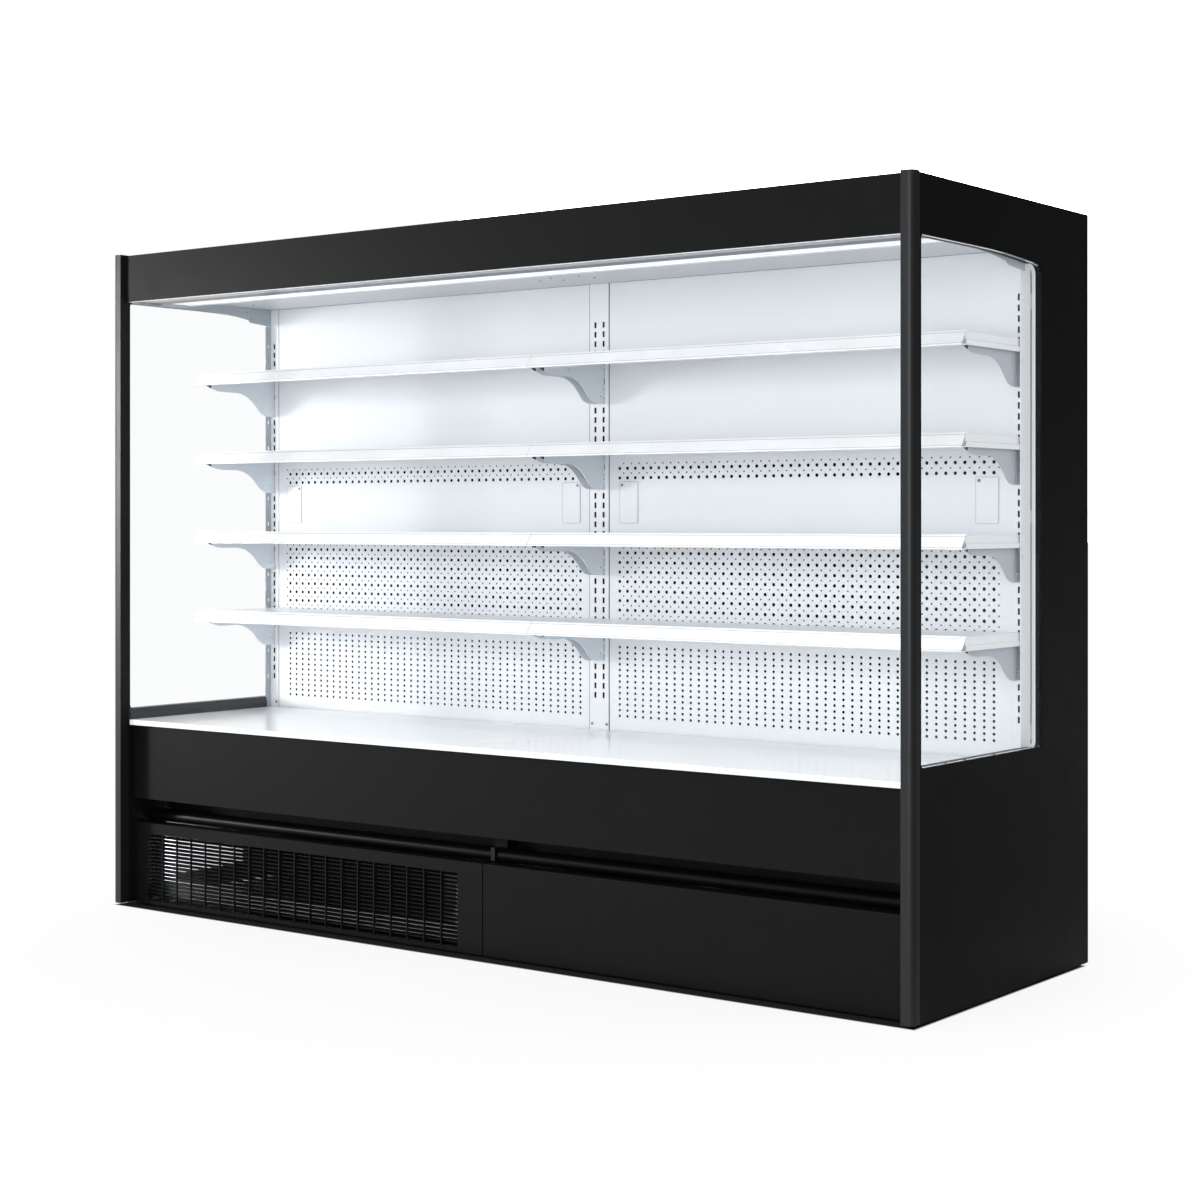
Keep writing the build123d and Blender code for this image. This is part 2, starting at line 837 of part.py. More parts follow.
with BuildPart() as perforated_back_panels:
    back_panel(
        panel_left_x, panel_right_x, upright_bottom, middle_panel_bottom - fit_gap
    )
    mirror(about=Plane.YZ)
save(perforated_back_panels, "perforated_back_panels")

# Small covers over the openings beside the uprights
with BuildPart() as duct_access_plates:
    for left in (
        panel_left_x + access_plate_inset,
        panel_right_x - access_plate_inset - access_plate_width,
    ):
        with BuildSketch(front_plane(back_panel_y - fit_gap)) as plate:
            area(
                (left, left + access_plate_width),
                (access_plate_top - access_plate_height, access_plate_top),
            )
            chamfer(plate.vertices(), access_plate_bevel)
        extrude(amount=access_plate_thickness)
    mirror(about=Plane.YZ)
save(duct_access_plates, "duct_access_plates")


# ---------------------------------------------------------------- shelves
def shelf_tray(left, shelf_height):
    """A folded steel tray, open below, with joggled sides and a stiffening rib."""
    right = left + tray_width
    low = shelf_height - tray_flange
    joggle = shelf_height - tray_joggle_drop
    under = shelf_height - inner_sheet
    left_side = [
        (left + tray_joggle, under),
        (left + tray_joggle, joggle),
        (left, joggle - tray_joggle),
        (left, low),
    ]
    with BuildSketch(front_plane(tray_front_y)) as section:
        area((left + tray_joggle, right - tray_joggle), (under, shelf_height))
        bent_sheet(left_side, inner_sheet)
        bent_sheet([(left + right - x, z) for x, z in left_side], inner_sheet, Side.RIGHT)
    extrude(section.sketch, amount=-shelf_depth)
    ends = (left + tray_joggle, right - tray_joggle)
    block(ends, (tray_front_y, tray_front_y + inner_sheet), (low, shelf_height))
    block(ends, (tray_front_y, tray_front_y + tray_lip), (low, low + inner_sheet))
    rib_front = tray_front_y + (shelf_depth - tray_rib_width) / 2
    rib_ends = (left + tray_rib_inset, right - tray_rib_inset)
    block(rib_ends, (rib_front, rib_front + tray_rib_width), (under - tray_rib_depth, under))


def price_rail(left, shelf_height):
    """A hollow price rail with a sloping face, clipped over the tray's front edge."""
    right = left + tray_width
    back = tray_front_y - fit_gap
    top = shelf_height + fit_gap
    low = shelf_height - rail_height
    with BuildSketch(side_plane(left)) as section:
        bent_sheet(
            [
                (back + rail_clip, top + rail_wall),
                (back - rail_wall, top + rail_wall),
                (back - rail_slope, low + rail_nose),
                (back - rail_slope, low),
                (back, low),
                (back, low + rail_clip),
            ],
            rail_wall,
        )
    extrude(section.sketch, amount=right - left)


sides = {"left": -tray_outer_end, "right": tray_inner_end}
for tier, shelf_height in enumerate(shelf_heights, start=1):
    for side, left in sides.items():
        with BuildPart() as tray:
            shelf_tray(left, shelf_height)
        save(tray, f"shelf_tray_{tier}_{side}")
        with BuildPart() as rail:
            price_rail(left, shelf_height)
        save(rail, f"price_rail_{tier}_{side}")

# ---------------------------------------------------------------- deck
deck_inner_x = tray_end_gap / 2
with BuildPart() as deck_pan_left:
    with BuildSketch(side_plane(-deck_end_x)):
        bent_sheet(
            [
                (deck_front_y + deck_lip, deck_height - deck_lip),
                (deck_front_y, deck_height - deck_lip),
                (deck_front_y, deck_height),
                (deck_rear_y, deck_height),
                (deck_rear_y, deck_height - deck_lip),
            ],
            sheet,
            Side.RIGHT,
        )
    extrude(amount=deck_end_x - deck_inner_x)
save(deck_pan_left, "deck_pan_left")

with BuildPart() as deck_pan_right:
    mirror(deck_pan_left.part, about=Plane.YZ)
save(deck_pan_right, "deck_pan_right")

# ---------------------------------------------------------------- lower front
with BuildPart() as lower_fascia:
    with BuildSketch(side_plane(-between_x)):
        bent_sheet(
            [
                (lower_fascia_y + lower_fascia_flange, lower_fascia_bottom),
                (lower_fascia_y, lower_fascia_bottom),
                (lower_fascia_y, lower_fascia_top),
            ],
            sheet,
            Side.RIGHT,
        )
    extrude(amount=2 * between_x)
save(lower_fascia, "lower_fascia")

bar_center = bar_top - bar_radius
with BuildPart() as bumper_bar:
    with BuildSketch(side_plane(-between_x)):
        with BuildLine():
            nose = RadiusArc(
                (bar_front_y + bar_radius, bar_center - bar_radius),
                (bar_front_y + bar_radius, bar_top),
                bar_radius,
            )
            back = Line((bar_rear_y, bar_top), (bar_rear_y, bar_center - bar_radius))
            Line(nose @ 1, back @ 0)
            Line(back @ 1, nose @ 0)
        make_face()
    extrude(amount=2 * between_x)
save(bumper_bar, "bumper_bar")


def kick_cover(left, right):
    """A kick panel with all four edges folded back against the base rail."""
    block((left, right), (kick_y, kick_rear_y), (kick_bottom, kick_top))
    block(
        (left + sheet, right - sheet),
        (kick_y + sheet, kick_rear_y),
        (kick_bottom + sheet, kick_top - sheet),
        mode=Mode.SUBTRACT,
    )


with BuildPart() as grille_panel:
    kick_cover(kick_ends[0], kick_split_x - kick_split_gap / 2)
    block(
        (grille_left_x, grille_right_x),
        (kick_y, kick_y + sheet),
        (grille_bottom, grille_top),
        mode=Mode.SUBTRACT,
    )
save(grille_panel, "grille_panel")

with BuildPart() as kick_panel:
    kick_cover(kick_split_x + kick_split_gap / 2, kick_ends[1])
save(kick_panel, "kick_panel")

# Louvre insert: a frame behind the panel, ribs in front, sloping louvres behind them
frame_front_y = kick_y + sheet + fit_gap
rib_rear_y = frame_front_y + grille_rib_depth
louvre_front_y = rib_rear_y + louvre_setback
frame_rear_y = louvre_front_y + louvre_depth
frame_bottom = kick_bottom + sheet + fit_gap
column_pitch = (grille_right_x - grille_left_x) / grille_columns
row_pitch = (grille_top - grille_bottom) / grille_rows
with BuildPart() as grille_louvres:
    block(
        (grille_left_x - grille_border, grille_right_x + grille_border),
        (frame_front_y, frame_rear_y),
        (frame_bottom, grille_top + grille_border),
    )
    block(
        (grille_left_x, grille_right_x),
        (frame_front_y, frame_rear_y),
        (grille_bottom, grille_top),
        mode=Mode.SUBTRACT,
    )
    for column in range(1, grille_columns):
        middle = grille_left_x + column * column_pitch
        block(
            (middle - grille_rib_width / 2, middle + grille_rib_width / 2),
            (frame_front_y, rib_rear_y),
            (grille_bottom, grille_top),
        )
    with BuildSketch(side_plane(grille_left_x)):
        for row in range(1, grille_rows):
            level = grille_bottom + row * row_pitch
            with BuildLine():
                Polyline(
                    (louvre_front_y, level),
                    (louvre_front_y, level + louvre_thickness),
                    (frame_rear_y, level + louvre_thickness + louvre_fall),
                    (frame_rear_y, level + louvre_fall),
                    close=True,
                )
            make_face()
    extrude(amount=grille_right_x - grille_left_x)
save(grille_louvres, "grille_louvres")


# ---------------------------------------------------------------- base frame
def base_rail(front):
    """A channel rail along the base, with holes for the studs of the feet."""
    outer = (front, front + base_rail_depth)
    with BuildSketch(side_plane(-between_x)) as section:
        area(outer, (base_rail_bottom, base_rail_top))
        area(
            (front + base_rail_wall, outer[1]),
            (base_rail_bottom + base_rail_wall, base_rail_top - base_rail_wall),
            mode=Mode.SUBTRACT,
        )
    extrude(section.sketch, amount=2 * between_x)
    with BuildSketch(Plane.XY.offset(base_rail_bottom)) as holes:
        with Locations(*[(x, front + base_rail_depth / 2) for x in foot_xs]):
            RegularPolygon(stud_radius + stud_clearance, stud_sides)
    extrude(holes.sketch, amount=base_rail_wall, mode=Mode.SUBTRACT)


with BuildPart() as base_frame:
    base_rail(base_front_y)
    base_rail(base_rear_y)
    for x in column_xs:
        for y in (column_front_y, column_rear_y):
            with BuildSketch(Plane.XY.offset(base_rail_top)) as angle:
                area((x - base_column / 2, x + base_column / 2), (y, y + base_column))
                area(
                    (x - base_column / 2, x + base_column / 2 - base_rail_wall),
                    (y + base_rail_wall, y + base_column),
                    mode=Mode.SUBTRACT,
                )
            extrude(angle.sketch, amount=well_bottom - fit_gap - base_rail_top)
    block(
        (machine_plate_left_x, machine_plate_right_x),
        (base_front_y, base_rear_y + base_rail_depth),
        (base_rail_top, machine_floor),
    )
save(base_frame, "base_frame")

# Levelling feet: a pad on the floor, a nut under the rail and a stud up into it
with BuildPart() as levelling_feet:
    for x in foot_xs:
        for y in (base_front_y + base_rail_depth / 2, base_rear_y + base_rail_depth / 2):
            with BuildSketch(Plane((x, y, 0))) as pad:
                RegularPolygon(foot_radius, foot_sides)
            extrude(pad.sketch, amount=foot_pad_height, taper=foot_taper)
            with BuildSketch(Plane((x, y, base_rail_bottom - fit_gap - nut_height))) as nut:
                RegularPolygon(nut_radius, 6)
            extrude(nut.sketch, amount=nut_height)
            with BuildSketch(Plane((x, y, foot_pad_height))) as stud:
                RegularPolygon(stud_radius, stud_sides)
            extrude(
                stud.sketch,
                amount=base_rail_top - base_rail_wall - foot_pad_height - stud_clearance,
            )
save(levelling_feet, "levelling_feet")


# ---------------------------------------------------------------- cooling parts
def finned_block(x, y, z, fins, core):
    """A coil: a core with fins standing out in front and behind, end plates."""
    pitch = (x[1] - x[0] - fin_thickness) / (fins - 1)
    middle = (y[0] + y[1]) / 2
    with BuildSketch(Plane.XY.offset(z[0])) as section:
        area(x, (middle - core / 2, middle + core / 2))
        with Locations(((x[0] + x[1]) / 2, middle)):
            with GridLocations(pitch, 0, fins, 1):
                Rectangle(fin_thickness, y[1] - y[0])
    extrude(section.sketch, amount=z[1] - z[0])


def fan_wheel(center, radius, hub_depth):
    """An axial fan about +Y: a hub with a bore, and pitched blades with bevelled tips."""
    plane = Plane(origin=center, x_dir=(1, 0, 0), z_dir=(0, 1, 0))
    with BuildSketch(plane) as hub:
        Circle(fan_hub_radius)
    extrude(hub.sketch, amount=hub_depth)
    root = fan_hub_radius - blade_root_sink
    for blade in range(fan_blade_count):
        turn = radians(360 / fan_blade_count * blade)
        outward = Vector(cos(turn), 0, sin(turn))
        across = Vector(-sin(turn), 0, cos(turn))
        facing = Vector(0, cos(radians(blade_pitch)), 0) - across * sin(radians(blade_pitch))
        middle = Vector(*center) + Vector(0, hub_depth / 2, 0)
        with BuildSketch(Plane(origin=middle, x_dir=outward, z_dir=facing)) as face:
            with BuildLine() as outline:
                leading = Line(
                    (root, -blade_root_width / 2),
                    (radius - blade_tip_crown, -blade_tip_width / 2),
                )
                tip = Polyline(
                    leading @ 1,
                    (radius, -blade_tip_width / 4),
                    (radius, blade_tip_width / 4),
                    (radius - blade_tip_crown, blade_tip_width / 2),
                )
                trailing = Line(tip @ 1, (root, blade_root_width / 2))
                Line(trailing @ 1, leading @ 0)
            make_face(outline.edges())
        extrude(face.sketch, amount=blade_thickness / 2, both=True)
    with BuildSketch(plane) as bore:
        Circle(shaft_radius + shaft_clearance)
    extrude(bore.sketch, amount=hub_depth, mode=Mode.SUBTRACT)


def fan_motor(center, hub_depth, body_radius, body_length):
    """A motor behind a fan wheel, with the shaft that carries the wheel."""
    start = (center[0], center[1] + hub_depth + hub_face_gap, center[2])
    with BuildSketch(Plane(origin=start, x_dir=(1, 0, 0), z_dir=(0, 1, 0))) as body:
        Circle(body_radius)
    extrude(body.sketch, amount=body_length)
    with BuildSketch(Plane(origin=center, x_dir=(1, 0, 0), z_dir=(0, 1, 0))) as shaft:
        Circle(shaft_radius)
    extrude(shaft.sketch, amount=hub_depth + hub_face_gap)


evaporator_foot = well_floor_top + fit_gap
with BuildPart() as evaporator_coil:
    finned_block(
        (-evaporator_end_x, evaporator_end_x),
        (evaporator_front_y, evaporator_front_y + evaporator_depth),
        (evaporator_foot, evaporator_foot + evaporator_height),
        evaporator_fin_count,
        evaporator_depth - 2 * fin_depth,
    )
save(evaporator_coil, "evaporator_coil")

evaporator_fan_z = (well_floor_top + well_top) / 2
fan_centers = [
    (x, fan_plate_y - evaporator_fan_depth / 2, evaporator_fan_z)
    for x in (-evaporator_fan_spacing / 2, evaporator_fan_spacing / 2)
]
motor_rear_y = (
    fan_centers[0][1] + evaporator_fan_depth + hub_face_gap + evaporator_motor_length
)
with BuildPart() as evaporator_fan_plate:
    block(
        (-between_x + fit_gap, between_x - fit_gap),
        (fan_plate_y, fan_plate_y + fan_plate_thickness),
        (well_floor_top, well_top),
    )
    for x, y, z in fan_centers:
        with BuildSketch(front_plane(fan_plate_y)) as opening:
            with Locations((x, z)):
                Circle(evaporator_fan_radius + fan_tip_gap)
        extrude(opening.sketch, amount=-fan_plate_thickness, mode=Mode.SUBTRACT)
        for side in (-1, 1):
            arm = x + side * (evaporator_motor_radius + fit_gap)
            post = x + side * (evaporator_fan_radius + fan_tip_gap + motor_bar)
            block(
                (min(arm, post), max(arm, post)),
                (motor_rear_y - motor_bar, motor_rear_y),
                (z - motor_bar, z + motor_bar),
            )
            block(
                (post - motor_bar / 2, post + motor_bar / 2),
                (fan_plate_y, motor_rear_y),
                (z - motor_bar, z + motor_bar),
            )
save(evaporator_fan_plate, "evaporator_fan_plate")

for side, center in zip(("left", "right"), fan_centers):
    with BuildPart() as evaporator_fan:
        fan_wheel(center, evaporator_fan_radius, evaporator_fan_depth)
    save(evaporator_fan, f"evaporator_fan_{side}")

# Condensing unit
condenser_x = (condenser_left_x, condenser_left_x + condenser_length)
condenser_center_x = condenser_left_x + condenser_length / 2
condenser_z = (machine_floor + fit_gap, machine_floor + fit_gap + condenser_height)
with BuildPart() as condenser_coil:
    finned_block(
        condenser_x,
        (condenser_front_y, condenser_front_y + condenser_depth),
        condenser_z,
        condenser_fin_count,
        condenser_depth - 2 * fin_depth,
    )
save(condenser_coil, "condenser_coil")

shroud_y = condenser_front_y + condenser_depth + fit_gap
shroud_rear_y = shroud_y + shroud_depth
condenser_fan_z = (condenser_z[0] + condenser_z[1]) / 2
condenser_fan_center = (
    condenser_center_x,
    shroud_rear_y - condenser_fan_depth / 2,
    condenser_fan_z,
)
condenser_motor_rear_y = (
    condenser_fan_center[1] + condenser_fan_depth + hub_face_gap + condenser_motor_length
)
with BuildPart() as condenser_shroud:
    block(condenser_x, (shroud_y, shroud_rear_y), condenser_z)
    block(
        (condenser_x[0] + sheet, condenser_x[1] - sheet),
        (shroud_y, shroud_rear_y - sheet),
        (condenser_z[0] + sheet, condenser_z[1] - sheet),
        mode=Mode.SUBTRACT,
    )
    with BuildSketch(front_plane(shroud_rear_y)) as opening:
        with Locations((condenser_center_x, condenser_fan_z)):
            Circle(condenser_fan_radius + fan_tip_gap)
    extrude(opening.sketch, amount=sheet, mode=Mode.SUBTRACT)
    for side in (-1, 1):
        arm = condenser_center_x + side * (condenser_motor_radius + fit_gap)
        post = condenser_center_x + side * (condenser_fan_radius + fan_tip_gap + motor_bar)
        bar_z = (condenser_fan_z - motor_bar, condenser_fan_z + motor_bar)
        block(
            (min(arm, post), max(arm, post)),
            (condenser_motor_rear_y - motor_bar, condenser_motor_rear_y),
            bar_z,
        )
        block(
            (post - motor_bar / 2, post + motor_bar / 2),
            (shroud_rear_y - sheet, condenser_motor_rear_y),
            bar_z,
        )
save(condenser_shroud, "condenser_shroud")

with BuildPart() as condenser_fan:
    fan_wheel(condenser_fan_center, condenser_fan_radius, condenser_fan_depth)
save(condenser_fan, "condenser_fan")

with BuildPart() as fan_motors:
    for center in fan_centers:
        fan_motor(
            center, evaporator_fan_depth, evaporator_motor_radius, evaporator_motor_length
        )
    fan_motor(
        condenser_fan_center,
        condenser_fan_depth,
        condenser_motor_radius,
        condenser_motor_length,
    )
save(fan_motors, "fan_motors")

# Hermetic compressor: a stepped dome on a foot plate with four rubber mounts
compressor_shell_foot = machine_floor + mount_height + foot_plate_thickness
with BuildPart() as compressor:
    with BuildSketch(Plane.XZ.offset(-compressor_y)) as half_shell:
        with Locations((compressor_x, compressor_shell_foot)):
            Rectangle(
                compressor_radius, compressor_height, align=(Align.MIN, Align.MIN)
            )
        outer = half_shell.vertices().group_by(Axis.X)[-1].sort_by(Axis.Y)
        chamfer(outer[0], compressor_foot_bevel)
        chamfer(outer[-1], compressor_dome)
        shoulder = half_shell.vertices().group_by(Axis.X)[-1].sort_by(Axis.Y)[-1]
        crown = half_shell.vertices().group_by(Axis.Y)[-1].sort_by(Axis.X)[-1]
        chamfer([shoulder, crown], compressor_dome_bevel)
    revolve(axis=Axis((compressor_x, compressor_y, 0), (0, 0, 1)))
    with BuildSketch(Plane.XY.offset(machine_floor + mount_height)):
        with Locations((compressor_x, compressor_y)):
            plate = Rectangle(foot_plate_size, foot_plate_size)
        chamfer(plate.vertices(), foot_plate_bevel)
    extrude(amount=foot_plate_thickness)
    with BuildSketch(Plane.XY.offset(machine_floor + fit_gap)):
        with Locations((compressor_x, compressor_y)):
            with GridLocations(mount_spacing, mount_spacing, 2, 2):
                RegularPolygon(mount_radius, mount_sides)
    extrude(amount=mount_height - fit_gap)
save(compressor, "compressor")

# Liquid receiver lying on the machine plate
with BuildPart() as liquid_receiver:
    receiver_z = machine_floor + fit_gap + receiver_radius
    receiver_plane = Plane(
        origin=(receiver_x, compressor_y - receiver_length / 2, receiver_z),
        x_dir=(1, 0, 0),
        z_dir=(0, 1, 0),
    )
    with BuildSketch(receiver_plane):
        Circle(receiver_radius)
    extrude(amount=receiver_length)
    chamfer(liquid_receiver.edges().filter_by(GeomType.CIRCLE), receiver_bevel)
save(liquid_receiver, "liquid_receiver")


def pipe(points, bend):
    """A pipe along straight runs joined by bends."""
    with BuildLine() as route:
        FilletPolyline(*points, radius=bend)
    start = route.wires()[0]
    with BuildSketch(Plane(origin=start @ 0, z_dir=start % 0)) as section:
        RegularPolygon(pipe_radius, pipe_sides)
    sweep(section.sketch, path=start)


coil_end_x = -evaporator_end_x - fit_gap
suction_port_z = compressor_shell_foot + suction_port_rise
evaporator_pipe_z = evaporator_foot + evaporator_pipe_rise
liquid_port_x = receiver_x - liquid_port_offset
liquid_port_y = compressor_y + receiver_length / 2 + fit_gap
with BuildPart() as refrigerant_lines:
    pipe(
        [
            (compressor_x - compressor_radius - fit_gap, compressor_y, suction_port_z),
            (suction_x, compressor_y, suction_port_z),
            (suction_x, pipe_passage_y, suction_port_z),
            (suction_x, pipe_passage_y, evaporator_pipe_z),
            (suction_x, evaporator_pipe_y, evaporator_pipe_z),
            (coil_end_x, evaporator_pipe_y, evaporator_pipe_z),
        ],
        pipe_bend,
    )
    pipe(
        [
            (liquid_port_x, liquid_port_y, receiver_z),
            (liquid_port_x, pipe_passage_y, receiver_z),
            (liquid_x, pipe_passage_y, receiver_z),
            (liquid_x, pipe_passage_y, well_floor_top),
        ],
        pipe_bend,
    )
save(refrigerant_lines, "refrigerant_lines")

# Control box with a lid that laps over it, and the inlet gland for the supply lead
control_box_rear_y = control_box_front_y + control_box_depth
gland_z = machine_floor + gland_rise
with BuildPart() as control_box:
    block(
        (control_box_left_x, control_box_right_x),
        (control_box_front_y, control_box_rear_y),
        (machine_floor + fit_gap, machine_floor + control_box_height),
    )
    chamfer(control_box.edges().filter_by(Axis.Y), control_box_bevel)
    block(
        (control_box_left_x - sheet, control_box_right_x + sheet),
        (control_box_front_y - sheet, control_box_front_y + control_box_lid),
        (machine_floor + fit_gap + sheet, machine_floor + control_box_height + sheet),
    )
    with BuildSketch(front_plane(control_box_rear_y)):
        with Locations((gland_x, gland_z)):
            RegularPolygon(gland_nut_radius, 6)
    extrude(amount=-gland_length / 2)
    with BuildSketch(front_plane(control_box_rear_y)):
        with Locations((gland_x, gland_z)):
            Circle(gland_radius)
    extrude(amount=-gland_length)
    with BuildSketch(front_plane(control_box_rear_y + gland_length)):
        with Locations((gland_x, gland_z)):
            Circle(gland_bore)
    extrude(amount=gland_length, mode=Mode.SUBTRACT)
save(control_box, "control_box")

# Evaporation tray under the drain spout
with BuildPart() as drip_tray:
    tray_x = (drain_x - drip_tray_width / 2, drain_x + drip_tray_width / 2)
    tray_y = (drain_y - drip_tray_depth / 2, drain_y + drip_tray_depth / 2)
    tray_z = (machine_floor + fit_gap, machine_floor + fit_gap + drip_tray_height)
    block(tray_x, tray_y, tray_z)
    fillet(drip_tray.edges().filter_by(Axis.Z), drip_tray_radius)
    offset(
        amount=-drip_tray_wall,
        openings=drip_tray.faces().sort_by(Axis.Z)[-1],
    )
save(drip_tray, "drip_tray")

# Screws at the foot of the uprights and on the small covers, and the panel catch
screw_seats = [
    (x, upright_y - fit_gap, upright_bottom + screw_rise)
    for x in (center_upright_width / 2 - screw_edge, between_x - end_screw_edge)
]
screw_seats += [
    (
        left + access_screw_inset,
        back_panel_y - fit_gap - access_plate_thickness - fit_gap,
        access_plate_top - access_screw_inset,
    )
    for left in (
        panel_left_x + access_plate_inset,
        panel_right_x - access_plate_inset - access_plate_width,
    )
]
catch_left_x = kick_split_x - catch_width / 2
with BuildPart() as fasteners:
    for x, y, z in screw_seats:
        with BuildSketch(Plane(origin=(x, y, z), x_dir=(1, 0, 0), z_dir=(0, -1, 0))):
            RegularPolygon(screw_radius, screw_sides)
        extrude(amount=screw_height, taper=screw_taper)
    mirror(about=Plane.YZ)
    with BuildSketch(side_plane(catch_left_x)):
        bent_sheet(
            [
                (bar_front_y + bar_radius, bar_top + fit_gap),
                (bar_front_y - catch_gap, bar_top + fit_gap),
                (bar_front_y - catch_gap, kick_top + catch_gap),
            ],
            inner_sheet,
            Side.RIGHT,
        )
    extrude(amount=catch_width)
save(fasteners, "fasteners")
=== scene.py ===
from math import pi, radians

import bmesh
import bpy
from mathutils import Matrix, Vector


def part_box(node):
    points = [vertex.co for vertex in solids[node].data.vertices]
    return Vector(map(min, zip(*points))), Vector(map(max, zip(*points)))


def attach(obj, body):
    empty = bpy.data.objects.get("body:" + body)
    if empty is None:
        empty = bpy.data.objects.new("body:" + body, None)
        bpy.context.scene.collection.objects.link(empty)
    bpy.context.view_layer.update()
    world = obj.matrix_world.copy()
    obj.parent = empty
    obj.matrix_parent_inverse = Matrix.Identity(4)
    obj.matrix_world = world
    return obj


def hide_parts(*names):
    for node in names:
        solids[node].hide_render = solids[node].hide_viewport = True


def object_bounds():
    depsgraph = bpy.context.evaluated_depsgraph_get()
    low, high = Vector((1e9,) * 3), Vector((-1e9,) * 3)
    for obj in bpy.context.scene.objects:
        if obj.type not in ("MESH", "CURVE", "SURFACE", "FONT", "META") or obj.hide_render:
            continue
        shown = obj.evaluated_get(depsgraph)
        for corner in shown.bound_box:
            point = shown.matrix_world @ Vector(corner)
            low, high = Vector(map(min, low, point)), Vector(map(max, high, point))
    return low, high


# The looks of an open multideck display fridge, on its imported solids.  Metres, +X to
# the right along the front, +Y from front to back, +Z up.

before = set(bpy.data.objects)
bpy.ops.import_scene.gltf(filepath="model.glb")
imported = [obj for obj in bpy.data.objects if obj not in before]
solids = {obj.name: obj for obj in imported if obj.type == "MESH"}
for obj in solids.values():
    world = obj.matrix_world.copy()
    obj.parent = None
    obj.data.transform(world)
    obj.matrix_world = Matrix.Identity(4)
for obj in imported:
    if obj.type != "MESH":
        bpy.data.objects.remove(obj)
cad_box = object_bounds()

MM = 0.001
FAR = 3.0                        # past the cabinet on every side

# ------------------------------------------------------------------ sizes and places
# Back panels and their perforations
PANEL_SHEET = 1.2 * MM
PANEL_RETURN = 10 * MM
PANEL_SIDE_GAP = 1.6 * MM        # the joint beside the middle upright
PANEL_JOINT = 1240 * MM          # between the two heights of plain panels
PANEL_JOINT_GAP = 0.3 * MM
HOLE_PITCH = 25 * MM
HOLE_RADIUS = 4.6 * MM
CLOSE_HOLE_RADIUS = 3.7 * MM
SMALL_HOLE_RADIUS = 2.3 * MM
HOLE_SIDES = 8
CLOSE_ROW_PITCH = 15 * MM
HOLE_COLUMNS = 44
FIELD_INSET = 27 * MM            # from the panel's edge beside the middle upright
STRIP_TOP = 1221 * MM            # the narrow band of holes under the second shelf
STRIP_ROWS = 2
UPPER_FIELD_TOP = 1000 * MM
UPPER_FIELD_ROWS = 8
LOWER_FIELD_TOP = 742 * MM
LOWER_FIELD_ROWS = 13
WELD_REACH = 0.02 * MM           # corners of two bands nearer than this are one
EDGE_REACH = 0.1 * MM            # a corner this near to a panel's side belongs to it

# Zones of paint and of painted shade: where one piece changes its colour
ZONE_BORDER = 0.3 * MM           # the width over which the colour changes
BAY_WALL = 1220.5 * MM           # bare steel on the end walls beside the machine bay
BARE_STEEL_Y = (-335 * MM, 35 * MM)
BARE_STEEL_Z = (65 * MM, 210 * MM)
JAMB_LINER = 1230 * MM           # the rear jambs of the windows are white up to here
JAMB_Y = (150 * MM, 200 * MM)
JAMB_Z = (500 * MM, 1670 * MM)
POST_INNER = 1222 * MM           # the corner posts are black on the inside
POST_INNER_Y = (-428 * MM, 0)
CHANNEL_INSIDE = 1218 * MM       # painted shade in the channels behind the slots of the uprights
CHANNEL_DEPTH = 0.7 * MM         # from the face of the uprights
FLANGE_LEAD = 0.3 * MM           # what stands further in front of it is the flange
BASE_SHADE_LEVEL = 210 * MM      # the base frame is black above this: painted shade where it shows through the gap above the bumper bar
RIGHT_BRACKETS_SHADED = 1000 * MM       # the brackets past this, at the right end, get painted shade
BRACKET_TIP_SHADOW = 16 * MM            # painted shadow at the front of each bracket, under the rail's end
SIDE_GROOVE = 1.8 * MM           # beside the middle upright, on its left
SIDE_GROOVE_OFFSET = 3.5 * MM
PLATE_OUTLINE = 1.6 * MM
PLATE_WIDTH = 60 * MM
PLATE_INSET = 34.3 * MM          # from the middle upright to the first plate
CATCH_TOP = 400 * MM             # of the fasteners only the catch on the bar is lower
# painted shade at the front of the light's housing, behind the fascia
HOUSING_SHADE_Y = (-330 * MM, 0)
RAIL_RULE = 1.2 * MM             # grooves of the price rails
RAIL_RULE_DROP = 4.5 * MM        # of the upper one, from the rail's top edge
RAIL_RULE_RISE = 4 * MM          # of the lower one, from the rail's foot

# Small screws of the canopy: places on the ceiling (x, y) and on the gussets (y, z)
SCREW_RADIUS = 3.6 * MM
SCREW_HEIGHT = 1.8 * MM
SCREW_SIDES = 10
SCREW_CROWN = 0.6                # of the head's radius
LINER_SHEET = 2 * MM
CEILING_RISE = 15 * MM           # from the ceiling sheet to the top of its folded edge
CEILING_SCREWS = [
    (-1.14, 0.0),
    (-0.078, -0.005),
    (-0.02, 0.02),
    (-0.018, -0.037),
    (0.068, -0.03),
    (0.08, 0.02),
    (1.14, 0.0),
]
GUSSET_SCREWS = [(-0.247, 1.68), (0.049, 1.676), (0.067, 1.659)]

# Camera, from the photograph's perspective
CAMERA_PLACE = (3.498, -4.523, 1.066)
CAMERA_TURN = 37.334
CAMERA_FOCAL = 2214.4            # in pixels of the 1200 pixel picture
CAMERA_CENTER = (579.95, 520.47)
PICTURE = 1200
SENSOR = 36.0
CAMERA_REACH = 200

# Light levels: watts of the lamps, and shares of plain white
WORLD_BRIGHT = 0.6               # from the front left
WORLD_DIM = 0.1                  # from the back right
WORLD_FALL = (0.6, 0.8, 0.0)     # the way from the bright side to the dim one
WORLD_TINT = (0.97, 0.985, 1.0)
LAMP_TINT = (0.95, 0.98, 1.0)    # of the strip under the canopy
FRONT_POWER = 142
LEFT_POWER = 225
TOP_POWER = 105
BACK_POWER = 170
STRIP_POWER = 0.3
BAY_POWER = 1.3
DIFFUSER_GLOW = 0.6
# the air outlet is no lamp: its glow is painted light
OUTLET_PAINTED_GLOW = 0.22

